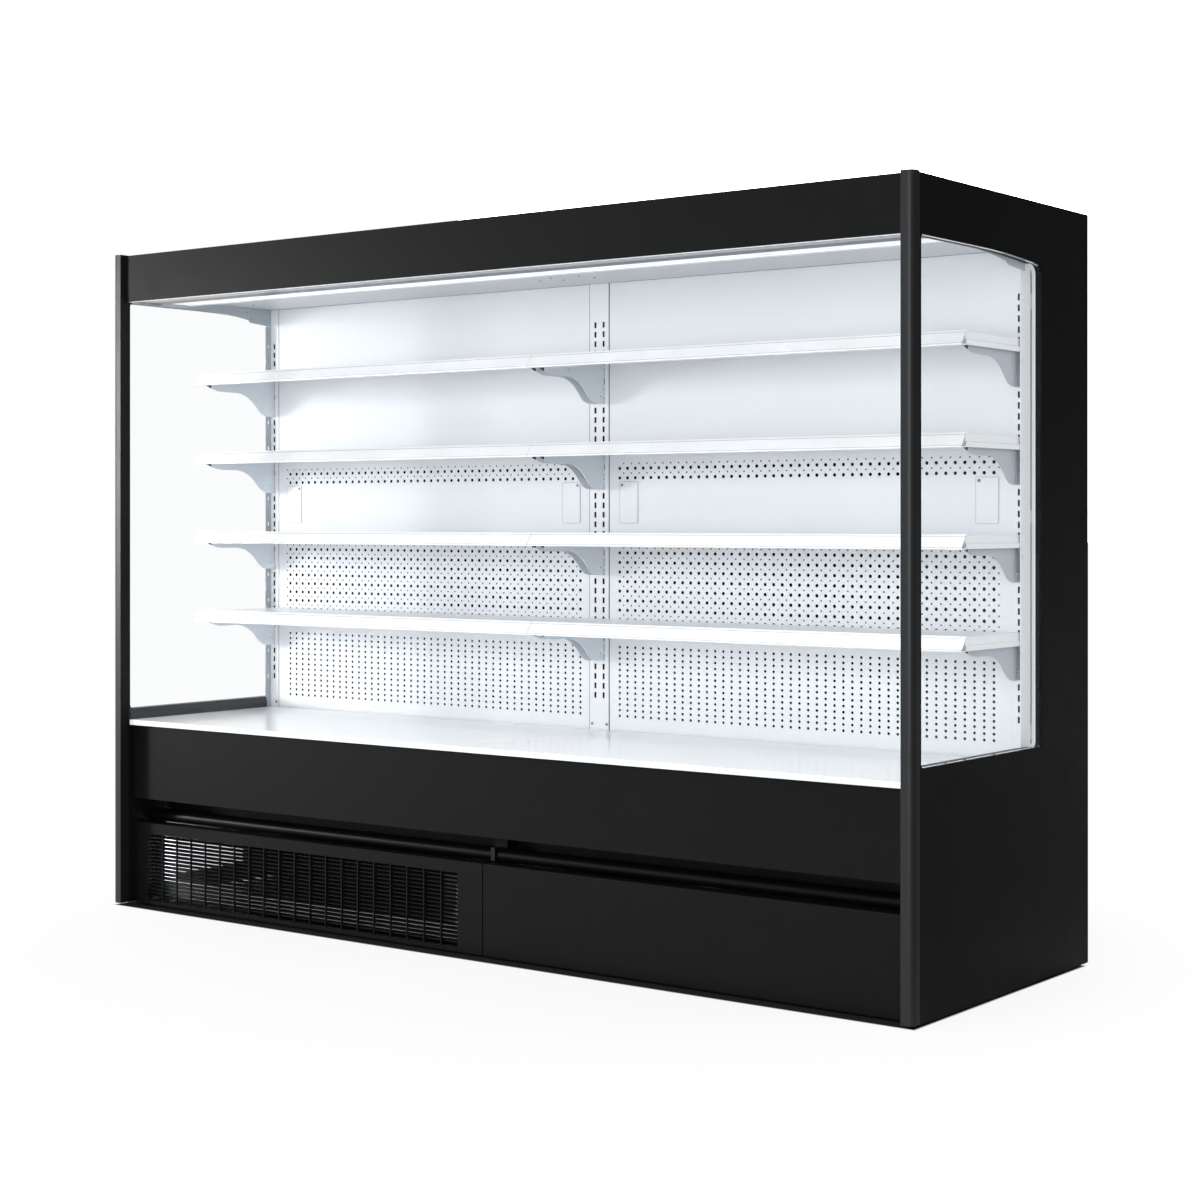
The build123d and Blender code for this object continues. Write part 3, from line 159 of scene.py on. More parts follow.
# Floor, in metres and in shares of plain white
FLOOR_REACH = 60.0
FLOOR_COLOR = (0.93, 0.93, 0.93)
FLOOR_GLOW = 0.8
FLOOR_FADE = (0.8, 1.7)          # from the middle of the cabinet
FLOOR_EDGE = 0.008               # the painted shadow on the floor under the cabinet starts behind its front
FLOOR_LEFT_SHADE = 0.012         # the painted shadow also reaches out under the left end wall
FLOOR_BESIDE_SHADE = (0.35, 0.35, 0.35)    # painted shade on the floor to the right, which the end wall mirrors
FLOOR_BESIDE_END = 6.0
FLOOR_BESIDE_Y = (-3.0, 4.0)
FLOOR_BESIDE_BORDER = 0.4

# Colours that several finishes share
WHITE_COAT = (0.84, 0.865, 0.89)
BLACK_COAT = (0.0052, 0.0056, 0.0058)
POST_COAT = (0.018, 0.0185, 0.0205)
# grey paint of the side liners, also the painted shade on the flange at the left end
LINER_GREY_AND_FLANGE_SHADE = (0.44, 0.48, 0.53)
LINE_GREY = (0.58, 0.61, 0.65)       # grooves of the price rails, outlines of the covers
ZINC_GREY = (0.52, 0.54, 0.56)
DEEP_SHADE = (0.012, 0.013, 0.014)   # painted shade: at the brackets' fronts, in the uprights' channels and on the floor under the cabinet


# ------------------------------------------------------------------ node helpers
def add_node(tree, kind, **settings):
    """A node of that kind, with its settings; a dict of inputs goes in as inputs=."""
    made = tree.nodes.new(kind)
    inputs = settings.pop("inputs", {})
    for name, value in settings.items():
        setattr(made, name, value)
    for name, value in inputs.items():
        made.inputs[name].default_value = value
    return made


def feed(tree, value, socket):
    """Give a socket a plain number, or link another socket to it."""
    if isinstance(value, (int, float)):
        socket.default_value = value
    else:
        tree.links.new(value, socket)


def new_group(name, kind, inputs, outputs):
    """A node group with named sockets, its input node and its output node."""
    group = bpy.data.node_groups.new(name, kind)
    for label, socket_type, value in inputs:
        socket = group.interface.new_socket(label, in_out="INPUT", socket_type=socket_type)
        if value is not None:
            socket.default_value = value
    for label, socket_type in outputs:
        group.interface.new_socket(label, in_out="OUTPUT", socket_type=socket_type)
    return group, group.nodes.new("NodeGroupInput"), group.nodes.new("NodeGroupOutput")


FLOAT = "NodeSocketFloat"
COLOR = "NodeSocketColor"
VECTOR = "NodeSocketVector"
GEOMETRY = "NodeSocketGeometry"
INTEGER = "NodeSocketInt"


# ------------------------------------------------------------------ shared effects
def swing(tree, noise, share, base):
    """The base plus a share of a noise that runs from 0 to 1, taken about its middle."""
    centred = add_node(tree, "ShaderNodeMath", operation="SUBTRACT", inputs={1: 0.5})
    swung = add_node(tree, "ShaderNodeMath", operation="MULTIPLY_ADD")
    feed(tree, noise, centred.inputs[0])
    feed(tree, centred.outputs[0], swung.inputs[0])
    feed(tree, share, swung.inputs[1])
    feed(tree, base, swung.inputs[2])
    return swung.outputs[0]


def put_out(tree, given, out, tone, rough, bump):
    """Hand over the given colour times a tone, the roughness and the bumped normal."""
    color = add_node(tree, "ShaderNodeVectorMath", operation="SCALE")
    feed(tree, given.outputs["Color"], color.inputs[0])
    feed(tree, tone, color.inputs["Scale"])
    feed(tree, color.outputs[0], out.inputs["Color"])
    feed(tree, rough, out.inputs["Roughness"])
    feed(tree, bump.outputs["Normal"], out.inputs["Normal"])


def coat_texture_group():
    """Powder coat: a fine orange peel, faint blotches and a soft edge."""
    tree, given, out = new_group(
        "coat_texture",
        "ShaderNodeTree",
        [
            ("Color", COLOR, (0.5, 0.5, 0.5, 1)),
            ("Roughness", FLOAT, 0.4),
            ("Peel scale", FLOAT, 420.0),
            ("Peel strength", FLOAT, 0.05),
            ("Variation", FLOAT, 0.06),
            ("Edge radius", FLOAT, 0.0008),
        ],
        [("Color", COLOR), ("Roughness", FLOAT), ("Normal", VECTOR)],
    )
    link = tree.links.new
    place = add_node(tree, "ShaderNodeTexCoord")
    peel = add_node(tree, "ShaderNodeTexNoise", inputs={"Detail": 2.0, "Roughness": 0.6})
    cloud = add_node(tree, "ShaderNodeTexNoise", inputs={"Scale": 3.1, "Detail": 4.0})
    smear = add_node(tree, "ShaderNodeTexNoise", inputs={"Scale": 14.0, "Detail": 5.0})
    for texture in (peel, cloud, smear):
        link(place.outputs["Object"], texture.inputs["Vector"])
    link(given.outputs["Peel scale"], peel.inputs["Scale"])
    soft = add_node(tree, "ShaderNodeBevel", samples=4)
    link(given.outputs["Edge radius"], soft.inputs["Radius"])
    bump = add_node(tree, "ShaderNodeBump", inputs={"Distance": 0.0004})
    link(given.outputs["Peel strength"], bump.inputs["Strength"])
    link(peel.outputs["Fac"], bump.inputs["Height"])
    link(soft.outputs["Normal"], bump.inputs["Normal"])
    variation = given.outputs["Variation"]
    roughness = given.outputs["Roughness"]
    tone = swing(tree, cloud.outputs["Fac"], share=variation, base=1.0)
    rough = swing(tree, smear.outputs["Fac"], share=variation, base=roughness)
    put_out(tree, given, out, tone, rough, bump)
    return tree


def zinc_spangle_group():
    """Galvanised steel: crystals of slightly different tone, in faint relief."""
    tree, given, out = new_group(
        "zinc_spangle",
        "ShaderNodeTree",
        [
            ("Color", COLOR, (0.5, 0.5, 0.5, 1)),
            ("Crystal scale", FLOAT, 90.0),
            ("Contrast", FLOAT, 0.25),
            ("Roughness", FLOAT, 0.38),
        ],
        [("Color", COLOR), ("Roughness", FLOAT), ("Normal", VECTOR)],
    )
    link = tree.links.new
    place = add_node(tree, "ShaderNodeTexCoord")
    crystal = add_node(tree, "ShaderNodeTexVoronoi")
    link(place.outputs["Object"], crystal.inputs["Vector"])
    link(given.outputs["Crystal scale"], crystal.inputs["Scale"])
    grey = add_node(tree, "ShaderNodeRGBToBW")
    link(crystal.outputs["Color"], grey.inputs[0])
    tone = swing(tree, grey.outputs[0], share=given.outputs["Contrast"], base=1.0)
    rough = swing(tree, grey.outputs[0], share=0.2, base=given.outputs["Roughness"])
    bump = add_node(tree, "ShaderNodeBump", inputs={"Strength": 0.08, "Distance": 0.0003})
    link(crystal.outputs["Distance"], bump.inputs["Height"])
    put_out(tree, given, out, tone, rough, bump)
    return tree


def moulded_grain_group():
    """Moulded plastic: a fine leather-like grain and a faint bloom."""
    tree, given, out = new_group(
        "moulded_grain",
        "ShaderNodeTree",
        [
            ("Color", COLOR, (0.5, 0.5, 0.5, 1)),
            ("Roughness", FLOAT, 0.5),
            ("Grain scale", FLOAT, 900.0),
            ("Grain strength", FLOAT, 0.12),
        ],
        [("Color", COLOR), ("Roughness", FLOAT), ("Normal", VECTOR)],
    )
    link = tree.links.new
    place = add_node(tree, "ShaderNodeTexCoord")
    grain = add_node(tree, "ShaderNodeTexVoronoi", feature="SMOOTH_F1")
    bloom = add_node(tree, "ShaderNodeTexNoise", inputs={"Scale": 9.0, "Detail": 4.0})
    link(place.outputs["Object"], grain.inputs["Vector"])
    link(place.outputs["Object"], bloom.inputs["Vector"])
    link(given.outputs["Grain scale"], grain.inputs["Scale"])
    bump = add_node(tree, "ShaderNodeBump", inputs={"Distance": 0.0003})
    link(given.outputs["Grain strength"], bump.inputs["Strength"])
    link(grain.outputs["Distance"], bump.inputs["Height"])
    tone = swing(tree, bloom.outputs["Fac"], share=0.2, base=1.0)
    rough = swing(tree, bloom.outputs["Fac"], share=0.15, base=given.outputs["Roughness"])
    put_out(tree, given, out, tone, rough, bump)
    return tree


def zone_mask_group():
    """1 inside a box of the piece's own space and 0 outside, with a ramp inside its sides."""
    tree, given, out = new_group(
        "zone_mask",
        "ShaderNodeTree",
        [("Low", VECTOR, None), ("High", VECTOR, None), ("Border", FLOAT, 0.0003)],
        [("Mask", FLOAT)],
    )
    link = tree.links.new
    place = add_node(tree, "ShaderNodeTexCoord")
    above = add_node(tree, "ShaderNodeVectorMath", operation="SUBTRACT")
    below = add_node(tree, "ShaderNodeVectorMath", operation="SUBTRACT")
    inside = add_node(tree, "ShaderNodeVectorMath", operation="MINIMUM")
    link(place.outputs["Object"], above.inputs[0])
    link(given.outputs["Low"], above.inputs[1])
    link(given.outputs["High"], below.inputs[0])
    link(place.outputs["Object"], below.inputs[1])
    link(above.outputs[0], inside.inputs[0])
    link(below.outputs[0], inside.inputs[1])
    axes = add_node(tree, "ShaderNodeSeparateXYZ")
    link(inside.outputs[0], axes.inputs[0])
    flat = add_node(tree, "ShaderNodeMath", operation="MINIMUM")
    link(axes.outputs["X"], flat.inputs[0])
    link(axes.outputs["Y"], flat.inputs[1])
    least = add_node(tree, "ShaderNodeMath", operation="MINIMUM")
    link(flat.outputs[0], least.inputs[0])
    link(axes.outputs["Z"], least.inputs[1])
    ramp = add_node(tree, "ShaderNodeMapRange")
    link(least.outputs[0], ramp.inputs["Value"])
    link(given.outputs["Border"], ramp.inputs["From Max"])
    link(ramp.outputs["Result"], out.inputs["Mask"])
    return tree


COAT_TEXTURE = coat_texture_group()
ZONE_MASK = zone_mask_group()
ZINC_SPANGLE = zinc_spangle_group()
MOULDED_GRAIN = moulded_grain_group()


# ------------------------------------------------------------------ materials
def finish_of(name, effect, color, roughness, effect_values=None, **sockets):
    """A material: one shared effect feeding a Principled shader."""
    material = bpy.data.materials.new(name)
    material.use_nodes = True
    tree = material.node_tree
    shader = tree.nodes["Principled BSDF"]
    group = add_node(tree, "ShaderNodeGroup", node_tree=effect)
    group.inputs["Color"].default_value = (*color, 1)
    group.inputs["Roughness"].default_value = roughness
    for label, value in (effect_values or {}).items():
        group.inputs[label].default_value = value
    tree.links.new(group.outputs["Color"], shader.inputs["Base Color"])
    tree.links.new(group.outputs["Roughness"], shader.inputs["Roughness"])
    tree.links.new(group.outputs["Normal"], shader.inputs["Normal"])
    for label, value in sockets.items():
        shader.inputs[label.replace("_", " ")].default_value = value
    return material


def coat(name, color, roughness, peel=0.05, variation=0.06, **sockets):
    """Powder coat or enamel."""
    values = {"Peel strength": peel, "Variation": variation}
    return finish_of(name, COAT_TEXTURE, color, roughness, values, **sockets)


def moulded(name, color, roughness, grain=0.12, **sockets):
    """Moulded plastic."""
    return finish_of(name, MOULDED_GRAIN, color, roughness, {"Grain strength": grain}, **sockets)


def metal(name, color, roughness, effect_values=None, metallic=1.0, **sockets):
    """Bare or plated metal."""
    sockets["Metallic"] = metallic
    return finish_of(name, ZINC_SPANGLE, color, roughness, effect_values, **sockets)


def within(x=(-FAR, FAR), y=(-FAR, FAR), z=(0, FAR)):
    """The low and the high corner of a box that has no bound where none is given."""
    return tuple(zip(x, y, z))


def zoned(material, box, color, roughness, metallic=0.0, border=ZONE_BORDER):
    """Give the part of a finish that lies inside a box another colour and gloss."""
    tree = material.node_tree
    shader = tree.nodes["Principled BSDF"]
    zone = add_node(tree, "ShaderNodeGroup", node_tree=ZONE_MASK)
    for label, value in zip(("Low", "High", "Border"), (*box, border)):
        zone.inputs[label].default_value = value
    tone = add_node(tree, "ShaderNodeMix", data_type="RGBA")
    tone.inputs[7].default_value = (*color, 1)
    tree.links.new(zone.outputs["Mask"], tone.inputs["Factor"])
    tree.links.new(shader.inputs["Base Color"].links[0].from_socket, tone.inputs[6])
    tree.links.new(tone.outputs[2], shader.inputs["Base Color"])
    gloss = add_node(tree, "ShaderNodeMix", data_type="FLOAT")
    gloss.inputs[3].default_value = roughness
    tree.links.new(zone.outputs["Mask"], gloss.inputs["Factor"])
    tree.links.new(shader.inputs["Roughness"].links[0].from_socket, gloss.inputs[2])
    tree.links.new(gloss.outputs[0], shader.inputs["Roughness"])
    plain_metallic = shader.inputs["Metallic"].default_value
    if metallic != plain_metallic:
        bare = add_node(tree, "ShaderNodeMix", data_type="FLOAT")
        bare.inputs[2].default_value = plain_metallic
        bare.inputs[3].default_value = metallic
        tree.links.new(zone.outputs["Mask"], bare.inputs["Factor"])
        tree.links.new(bare.outputs[0], shader.inputs["Metallic"])


def glowing(material, strength):
    """Give a finish a glow: the light of the lamp behind the diffuser, and painted light on the air
    outlet, which is no lamp.
    """
    shader = material.node_tree.nodes["Principled BSDF"]
    shader.inputs["Emission Color"].default_value = (*LAMP_TINT, 1)
    shader.inputs["Emission Strength"].default_value = strength
    return material


def ruled(material, levels, spacing, thickness, color):
    """Draw level lines on the rails: thin grooves at the same heights on each shelf.

    The shelves are evenly spaced, so every height is folded into one spacing.
    """
    tree = material.node_tree
    shader = tree.nodes["Principled BSDF"]
    place = add_node(tree, "ShaderNodeTexCoord")
    axes = add_node(tree, "ShaderNodeSeparateXYZ")
    tree.links.new(place.outputs["Object"], axes.inputs[0])
    shade = shader.inputs["Base Color"].links[0].from_socket
    for level in levels:
        shift = add_node(tree, "ShaderNodeMath", operation="SUBTRACT", inputs={1: level})
        fold = add_node(tree, "ShaderNodeMath", operation="PINGPONG", inputs={1: spacing / 2})
        line = add_node(
            tree,
            "ShaderNodeMapRange",
            inputs={"From Min": thickness / 2, "From Max": thickness, "To Min": 1.0, "To Max": 0.0},
        )
        tone = add_node(tree, "ShaderNodeMix", data_type="RGBA")
        tone.inputs[7].default_value = (*color, 1)
        tree.links.new(axes.outputs["Z"], shift.inputs[0])
        tree.links.new(shift.outputs[0], fold.inputs[0])
        tree.links.new(fold.outputs[0], line.inputs["Value"])
        tree.links.new(line.outputs["Result"], tone.inputs["Factor"])
        tree.links.new(shade, tone.inputs[6])
        shade = tone.outputs[2]
    tree.links.new(shade, shader.inputs["Base Color"])


def window_glass():
    """Clear pane that lets light through to the shelves without a dark shadow."""
    material = bpy.data.materials.new("clear_side_glass")
    material.use_nodes = True
    tree = material.node_tree
    shader = tree.nodes["Principled BSDF"]
    shader.inputs["Base Color"].default_value = (0.965, 0.973, 0.977, 1)
    shader.inputs["Roughness"].default_value = 0.0
    shader.inputs["IOR"].default_value = 1.12
    shader.inputs["Transmission Weight"].default_value = 1.0
    path = add_node(tree, "ShaderNodeLightPath")
    clear = add_node(tree, "ShaderNodeBsdfTransparent")
    mixed = add_node(tree, "ShaderNodeMixShader")
    tree.links.new(path.outputs["Is Shadow Ray"], mixed.inputs["Fac"])
    tree.links.new(shader.outputs[0], mixed.inputs[1])
    tree.links.new(clear.outputs[0], mixed.inputs[2])
    tree.links.new(mixed.outputs[0], tree.nodes["Material Output"].inputs["Surface"])
    return material


side_glass = window_glass()

# ------------------------------------------------------------------ black and grey coats
BLACK_FINISH = {"roughness": 0.4, "peel": 0.09, "variation": 0.12, "Specular_IOR_Level": 0.092}
black_coat = coat("black_powder_coat", BLACK_COAT, **BLACK_FINISH)
# The end walls have bare steel beside the machine bay, and a white rear jamb to each window
end_wall_coat = coat("black_end_wall_coat", BLACK_COAT, **BLACK_FINISH)
zoned(
    end_wall_coat,
    within(x=(-BAY_WALL, BAY_WALL), y=BARE_STEEL_Y, z=BARE_STEEL_Z),
    color=(0.8, 0.82, 0.84),
    roughness=0.45,
    metallic=0.2,
)
zoned(
    end_wall_coat,
    within(x=(-JAMB_LINER, JAMB_LINER), y=JAMB_Y, z=JAMB_Z),
    color=WHITE_COAT,
    roughness=0.4,
)
post_coat = coat(
    "dark_grey_post_coat", POST_COAT, roughness=0.35, peel=0.05, variation=0.08,
    Specular_IOR_Level=0.27,
)
zoned(
    post_coat,
    within(x=(-POST_INNER, POST_INNER), y=POST_INNER_Y),
    color=(0.002, 0.002, 0.002),
    roughness=0.8,
)
bar_coat = coat(
    "black_bar_coat", (0.002, 0.002, 0.0022), roughness=0.34, peel=0.01, variation=0.05,
    Specular_IOR_Level=0.12,
)
dark_fins = coat(
    "black_coated_fins", (0.006, 0.006, 0.0065), roughness=0.5, peel=0.05, variation=0.1,
    Specular_IOR_Level=0.1,
)
enamel = coat("black_enamel", (0.012, 0.012, 0.013), roughness=0.3, peel=0.12, variation=0.1)
motor_enamel = coat(
    "grey_motor_enamel", (0.11, 0.11, 0.12), roughness=0.4, peel=0.1, variation=0.1
)
liner_coat = coat("grey_liner_coat", LINER_GREY_AND_FLANGE_SHADE, roughness=0.38, peel=0.05, variation=0.05)
# The tray that houses the light gets painted shade at its front, behind the fascia
housing_coat = coat(
    "grey_housing_coat", (0.42, 0.43, 0.46), roughness=0.3, peel=0.03, variation=0.02
)
zoned(housing_coat, within(y=HOUSING_SHADE_Y), color=(0.06, 0.062, 0.07), roughness=0.3)

# ------------------------------------------------------------------ white coats
white_coat = coat("white_powder_coat", WHITE_COAT, roughness=0.22, peel=0.04, variation=0.02)
# A lighter copy of the white coat: painted light on the deck pans
deck_coat_painted_light = coat(
    "white_deck_coat", (0.93, 0.945, 0.96), roughness=0.16, peel=0.02, variation=0.02
)
# A darker copy of the white coat: painted shade on the ceiling under the canopy
ceiling_coat_painted_shade = coat(
    "white_ceiling_coat", (0.65, 0.675, 0.7), roughness=0.3, peel=0.04, variation=0.02
)

WALL_FINISH = {"roughness": 0.6, "peel": 0.04, "variation": 0.02, "Specular_IOR_Level": 0.05}
upright_low, upright_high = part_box("center_upright")
# The back has a dark joint line along the left of the middle upright
wall_coat = coat("white_panel_coat", WHITE_COAT, **WALL_FINISH)
groove_x = upright_low.x - SIDE_GROOVE_OFFSET
zoned(
    wall_coat,
    within(x=(groove_x - SIDE_GROOVE, groove_x)),
    color=(0.25, 0.26, 0.28),
    roughness=0.6,
)
# The covers beside the uprights are white inside a thin grey outline
plate_coat = coat("white_plate_coat", LINE_GREY, **WALL_FINISH)
plate_low, plate_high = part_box("duct_access_plates")
plate_z = (plate_low.z + PLATE_OUTLINE, plate_high.z - PLATE_OUTLINE)
for side in (-1, 1):
    for edge in (plate_high.x, upright_high.x + PLATE_INSET + PLATE_WIDTH):
        middle = side * (edge - PLATE_WIDTH / 2)
        half = PLATE_WIDTH / 2 - PLATE_OUTLINE
        zoned(
            plate_coat,
            within(x=(middle - half, middle + half), z=plate_z),
            color=WHITE_COAT,
            roughness=0.6,
        )
# The uprights are white; painted shade greys the flange at the left end and darkens the channels
upright_coat = coat(
    "white_upright_coat", WHITE_COAT, roughness=0.3, peel=0.04, variation=0.02
)
# painted shade: the flange at the left end is grey
zoned(
    upright_coat,
    within(x=(-FAR, 0), y=(-FAR, upright_low.y - FLANGE_LEAD)),
    color=LINER_GREY_AND_FLANGE_SHADE,
    roughness=0.38,
)
# painted shade inside the channels behind the slots
zoned(
    upright_coat,
    within(x=(-CHANNEL_INSIDE, CHANNEL_INSIDE), y=(upright_low.y + CHANNEL_DEPTH, FAR)),
    color=DEEP_SHADE,
    roughness=0.6,
)
# Painted shade: the brackets at the right end are darker, and each bracket has a dark patch at its
# front, under the rail's end
bracket_coat = coat(
    "pale_grey_bracket_coat", (0.78, 0.83, 0.89), roughness=0.38, peel=0.05, variation=0.05
)
bracket_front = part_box("shelf_brackets")[0].y
# painted shade on the brackets at the right end
zoned(
    bracket_coat,
    within(x=(RIGHT_BRACKETS_SHADED, FAR)),
    color=(0.46, 0.5, 0.55),
    roughness=0.38,
)
# painted shadow at the front of each bracket
zoned(
    bracket_coat,
    within(y=(-FAR, bracket_front + BRACKET_TIP_SHADOW)),
    color=DEEP_SHADE,
    roughness=0.5,
)

# ------------------------------------------------------------------ plastics
rail_plastic = moulded("white_rail_plastic", (0.92, 0.935, 0.95), roughness=0.25, grain=0.02)
rail_low, rail_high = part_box("price_rail_1_left")
shelf_spacing = rail_high.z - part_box("price_rail_2_left")[1].z
rail_rules = (rail_high.z - RAIL_RULE_DROP, rail_low.z + RAIL_RULE_RISE)
ruled(rail_plastic, rail_rules, shelf_spacing, RAIL_RULE, LINE_GREY)
dark_bead = moulded("dark_bead_plastic", (0.022, 0.024, 0.028), roughness=0.4, grain=0.05)
grille_plastic = moulded(
    "black_grille_plastic", (0.005, 0.0052, 0.0055), roughness=0.45, grain=0.08,
    Specular_IOR_Level=0.12,
)
fan_plastic = moulded("black_fan_plastic", (0.014, 0.014, 0.015), roughness=0.45)
box_plastic = moulded("grey_box_plastic", (0.35, 0.37, 0.38), roughness=0.5)
tray_plastic = moulded("black_tray_plastic", (0.015, 0.015, 0.016), roughness=0.5)
foot_plastic = moulded("black_foot_plastic", (0.012, 0.012, 0.013), roughness=0.55)
opal = glowing(
    moulded("opal_diffuser", (0.9, 0.93, 0.95), roughness=0.35, grain=0.02), DIFFUSER_GLOW
)
# painted light: the air outlet glows as if lit
outlet_plastic_painted_glow = glowing(
    moulded("white_outlet_plastic", (0.9, 0.92, 0.94), roughness=0.4, grain=0.02), OUTLET_PAINTED_GLOW
)

# ------------------------------------------------------------------ metals
zinc = metal("galvanised_steel", ZINC_GREY, roughness=0.38, metallic=0.9)
# The base frame is galvanised low down, and black above as painted shade for the gap above the
# bumper bar
frame_steel = metal(
    "base_frame_steel", ZINC_GREY, roughness=0.38, metallic=0.9, Specular_IOR_Level=0.1
)
zoned(frame_steel, within(z=(BASE_SHADE_LEVEL, FAR)), color=BLACK_COAT, roughness=0.5)
fin_metal = metal(
    "aluminium_fins", (0.72, 0.73, 0.74), 0.35, {"Contrast": 0.06, "Crystal scale": 400.0}
)
copper = metal(
    "drawn_copper", (0.72, 0.36, 0.22), 0.3, {"Contrast": 0.1, "Crystal scale": 60.0}
)
# The screws are plated, and the catch on the bumper bar is painted
screw_steel = metal(
    "plated_screw_steel", (0.32, 0.33, 0.35), 0.32, {"Contrast": 0.05, "Crystal scale": 300.0},
    Specular_IOR_Level=0.15,
)
zoned(screw_steel, within(z=(0, CATCH_TOP)), color=POST_COAT, roughness=0.5)

FINISH_BY_NODE = {
    "air_outlet": outlet_plastic_painted_glow,
    "base_frame": frame_steel,
    "bumper_bar": bar_coat,
    "canopy_ceiling": ceiling_coat_painted_shade,
    "canopy_fascia": black_coat,
    "canopy_roof": black_coat,
    "center_upright": upright_coat,
    "compressor": enamel,
    "condenser_coil": dark_fins,
    "condenser_fan": fan_plastic,
    "condenser_shroud": zinc,
    "control_box": box_plastic,
    "corner_posts": post_coat,
    "deck_pan_left": deck_coat_painted_light,
    "deck_pan_right": deck_coat_painted_light,
    "drip_tray": tray_plastic,
    "duct_access_plates": plate_coat,
    "end_panel_left": end_wall_coat,
    "end_panel_right": end_wall_coat,
    "end_uprights": upright_coat,
    "evaporator_coil": fin_metal,
    "evaporator_fan_left": fan_plastic,
    "evaporator_fan_right": fan_plastic,
    "evaporator_fan_plate": zinc,
    "fan_motors": motor_enamel,
    "fasteners": screw_steel,
    "glazing_beads": dark_bead,
    "grille_louvres": grille_plastic,
    "grille_panel": black_coat,
    "insulated_back_wall": black_coat,
    "insulated_well": black_coat,
    "kick_panel": black_coat,
    "levelling_feet": foot_plastic,
    "light_diffuser": opal,
    "light_housing": housing_coat,
    "liquid_receiver": enamel,
    "lower_fascia": black_coat,
    "perforated_back_panels": wall_coat,
    "plain_back_panels": wall_coat,
    "refrigerant_lines": copper,
    "shelf_brackets": bracket_coat,
    "side_glass": side_glass,
    "side_liners": liner_coat,
    "upright_standoffs": zinc,
}


def finish_for(node):
    """The finish of a node: the shelves' trays and rails go by the start of their names."""
    if node.startswith("price_rail"):
        return rail_plastic
    if node.startswith("shelf_tray"):
        return white_coat
    return FINISH_BY_NODE[node]


for node, solid in solids.items():
    solid.data.materials.clear()
    solid.data.materials.append(finish_for(node))


# ------------------------------------------------------------------ perforated panels
def hole_cell(name, width, height, radius):
    """A cell of sheet in the XZ plane, facing the front, with a hole in its left half.

    A cell higher than the close rows' pitch has a second, smaller hole, half a cell up and
    to the right.
    """
    work = bmesh.new()
    staggered = height > CLOSE_ROW_PITCH
    rows = 2 if staggered else 1
    step_x, step_z = width / 2, height / rows
    for column in range(2):
        for row in range(rows):
            left, low = column * step_x, row * step_z
            corners = [
                (left, low),
                (left + step_x, low),
                (left + step_x, low + step_z),
                (left, low + step_z),
            ]
            big = column == 0 and row == 0
            small = staggered and column == 1 and row == 1
            outer = [work.verts.new((x, 0, z)) for x, z in corners]
            if not (big or small):
                work.faces.new(outer)
                continue
            size = radius if big else SMALL_HOLE_RADIUS
            middle = Vector((left + step_x / 2, 0, low + step_z / 2))
            ring = []
            for side in range(HOLE_SIDES):
                spoke = Matrix.Rotation(-2 * pi * (side + 0.5) / HOLE_SIDES, 3, "Y")
                ring.append(work.verts.new(middle + spoke @ Vector((size, 0, 0))))
            # ring vertex 0 lies just above the +X direction; corner 2 is the upper right
            per_side = HOLE_SIDES // 4
            for quarter in range(4):
                near = ring[quarter * per_side:(quarter + 1) * per_side + 1]
                if quarter == 3:
                    near = ring[3 * per_side:] + ring[:1]
                first = outer[(quarter + 2) % 4]
                second = outer[(quarter + 3) % 4]
                work.faces.new([first, second, *reversed(near)])
    work.normal_update()
    mesh = bpy.data.meshes.new(name)
    work.to_mesh(mesh)
    work.free()
    return bpy.data.objects.new(name, mesh)


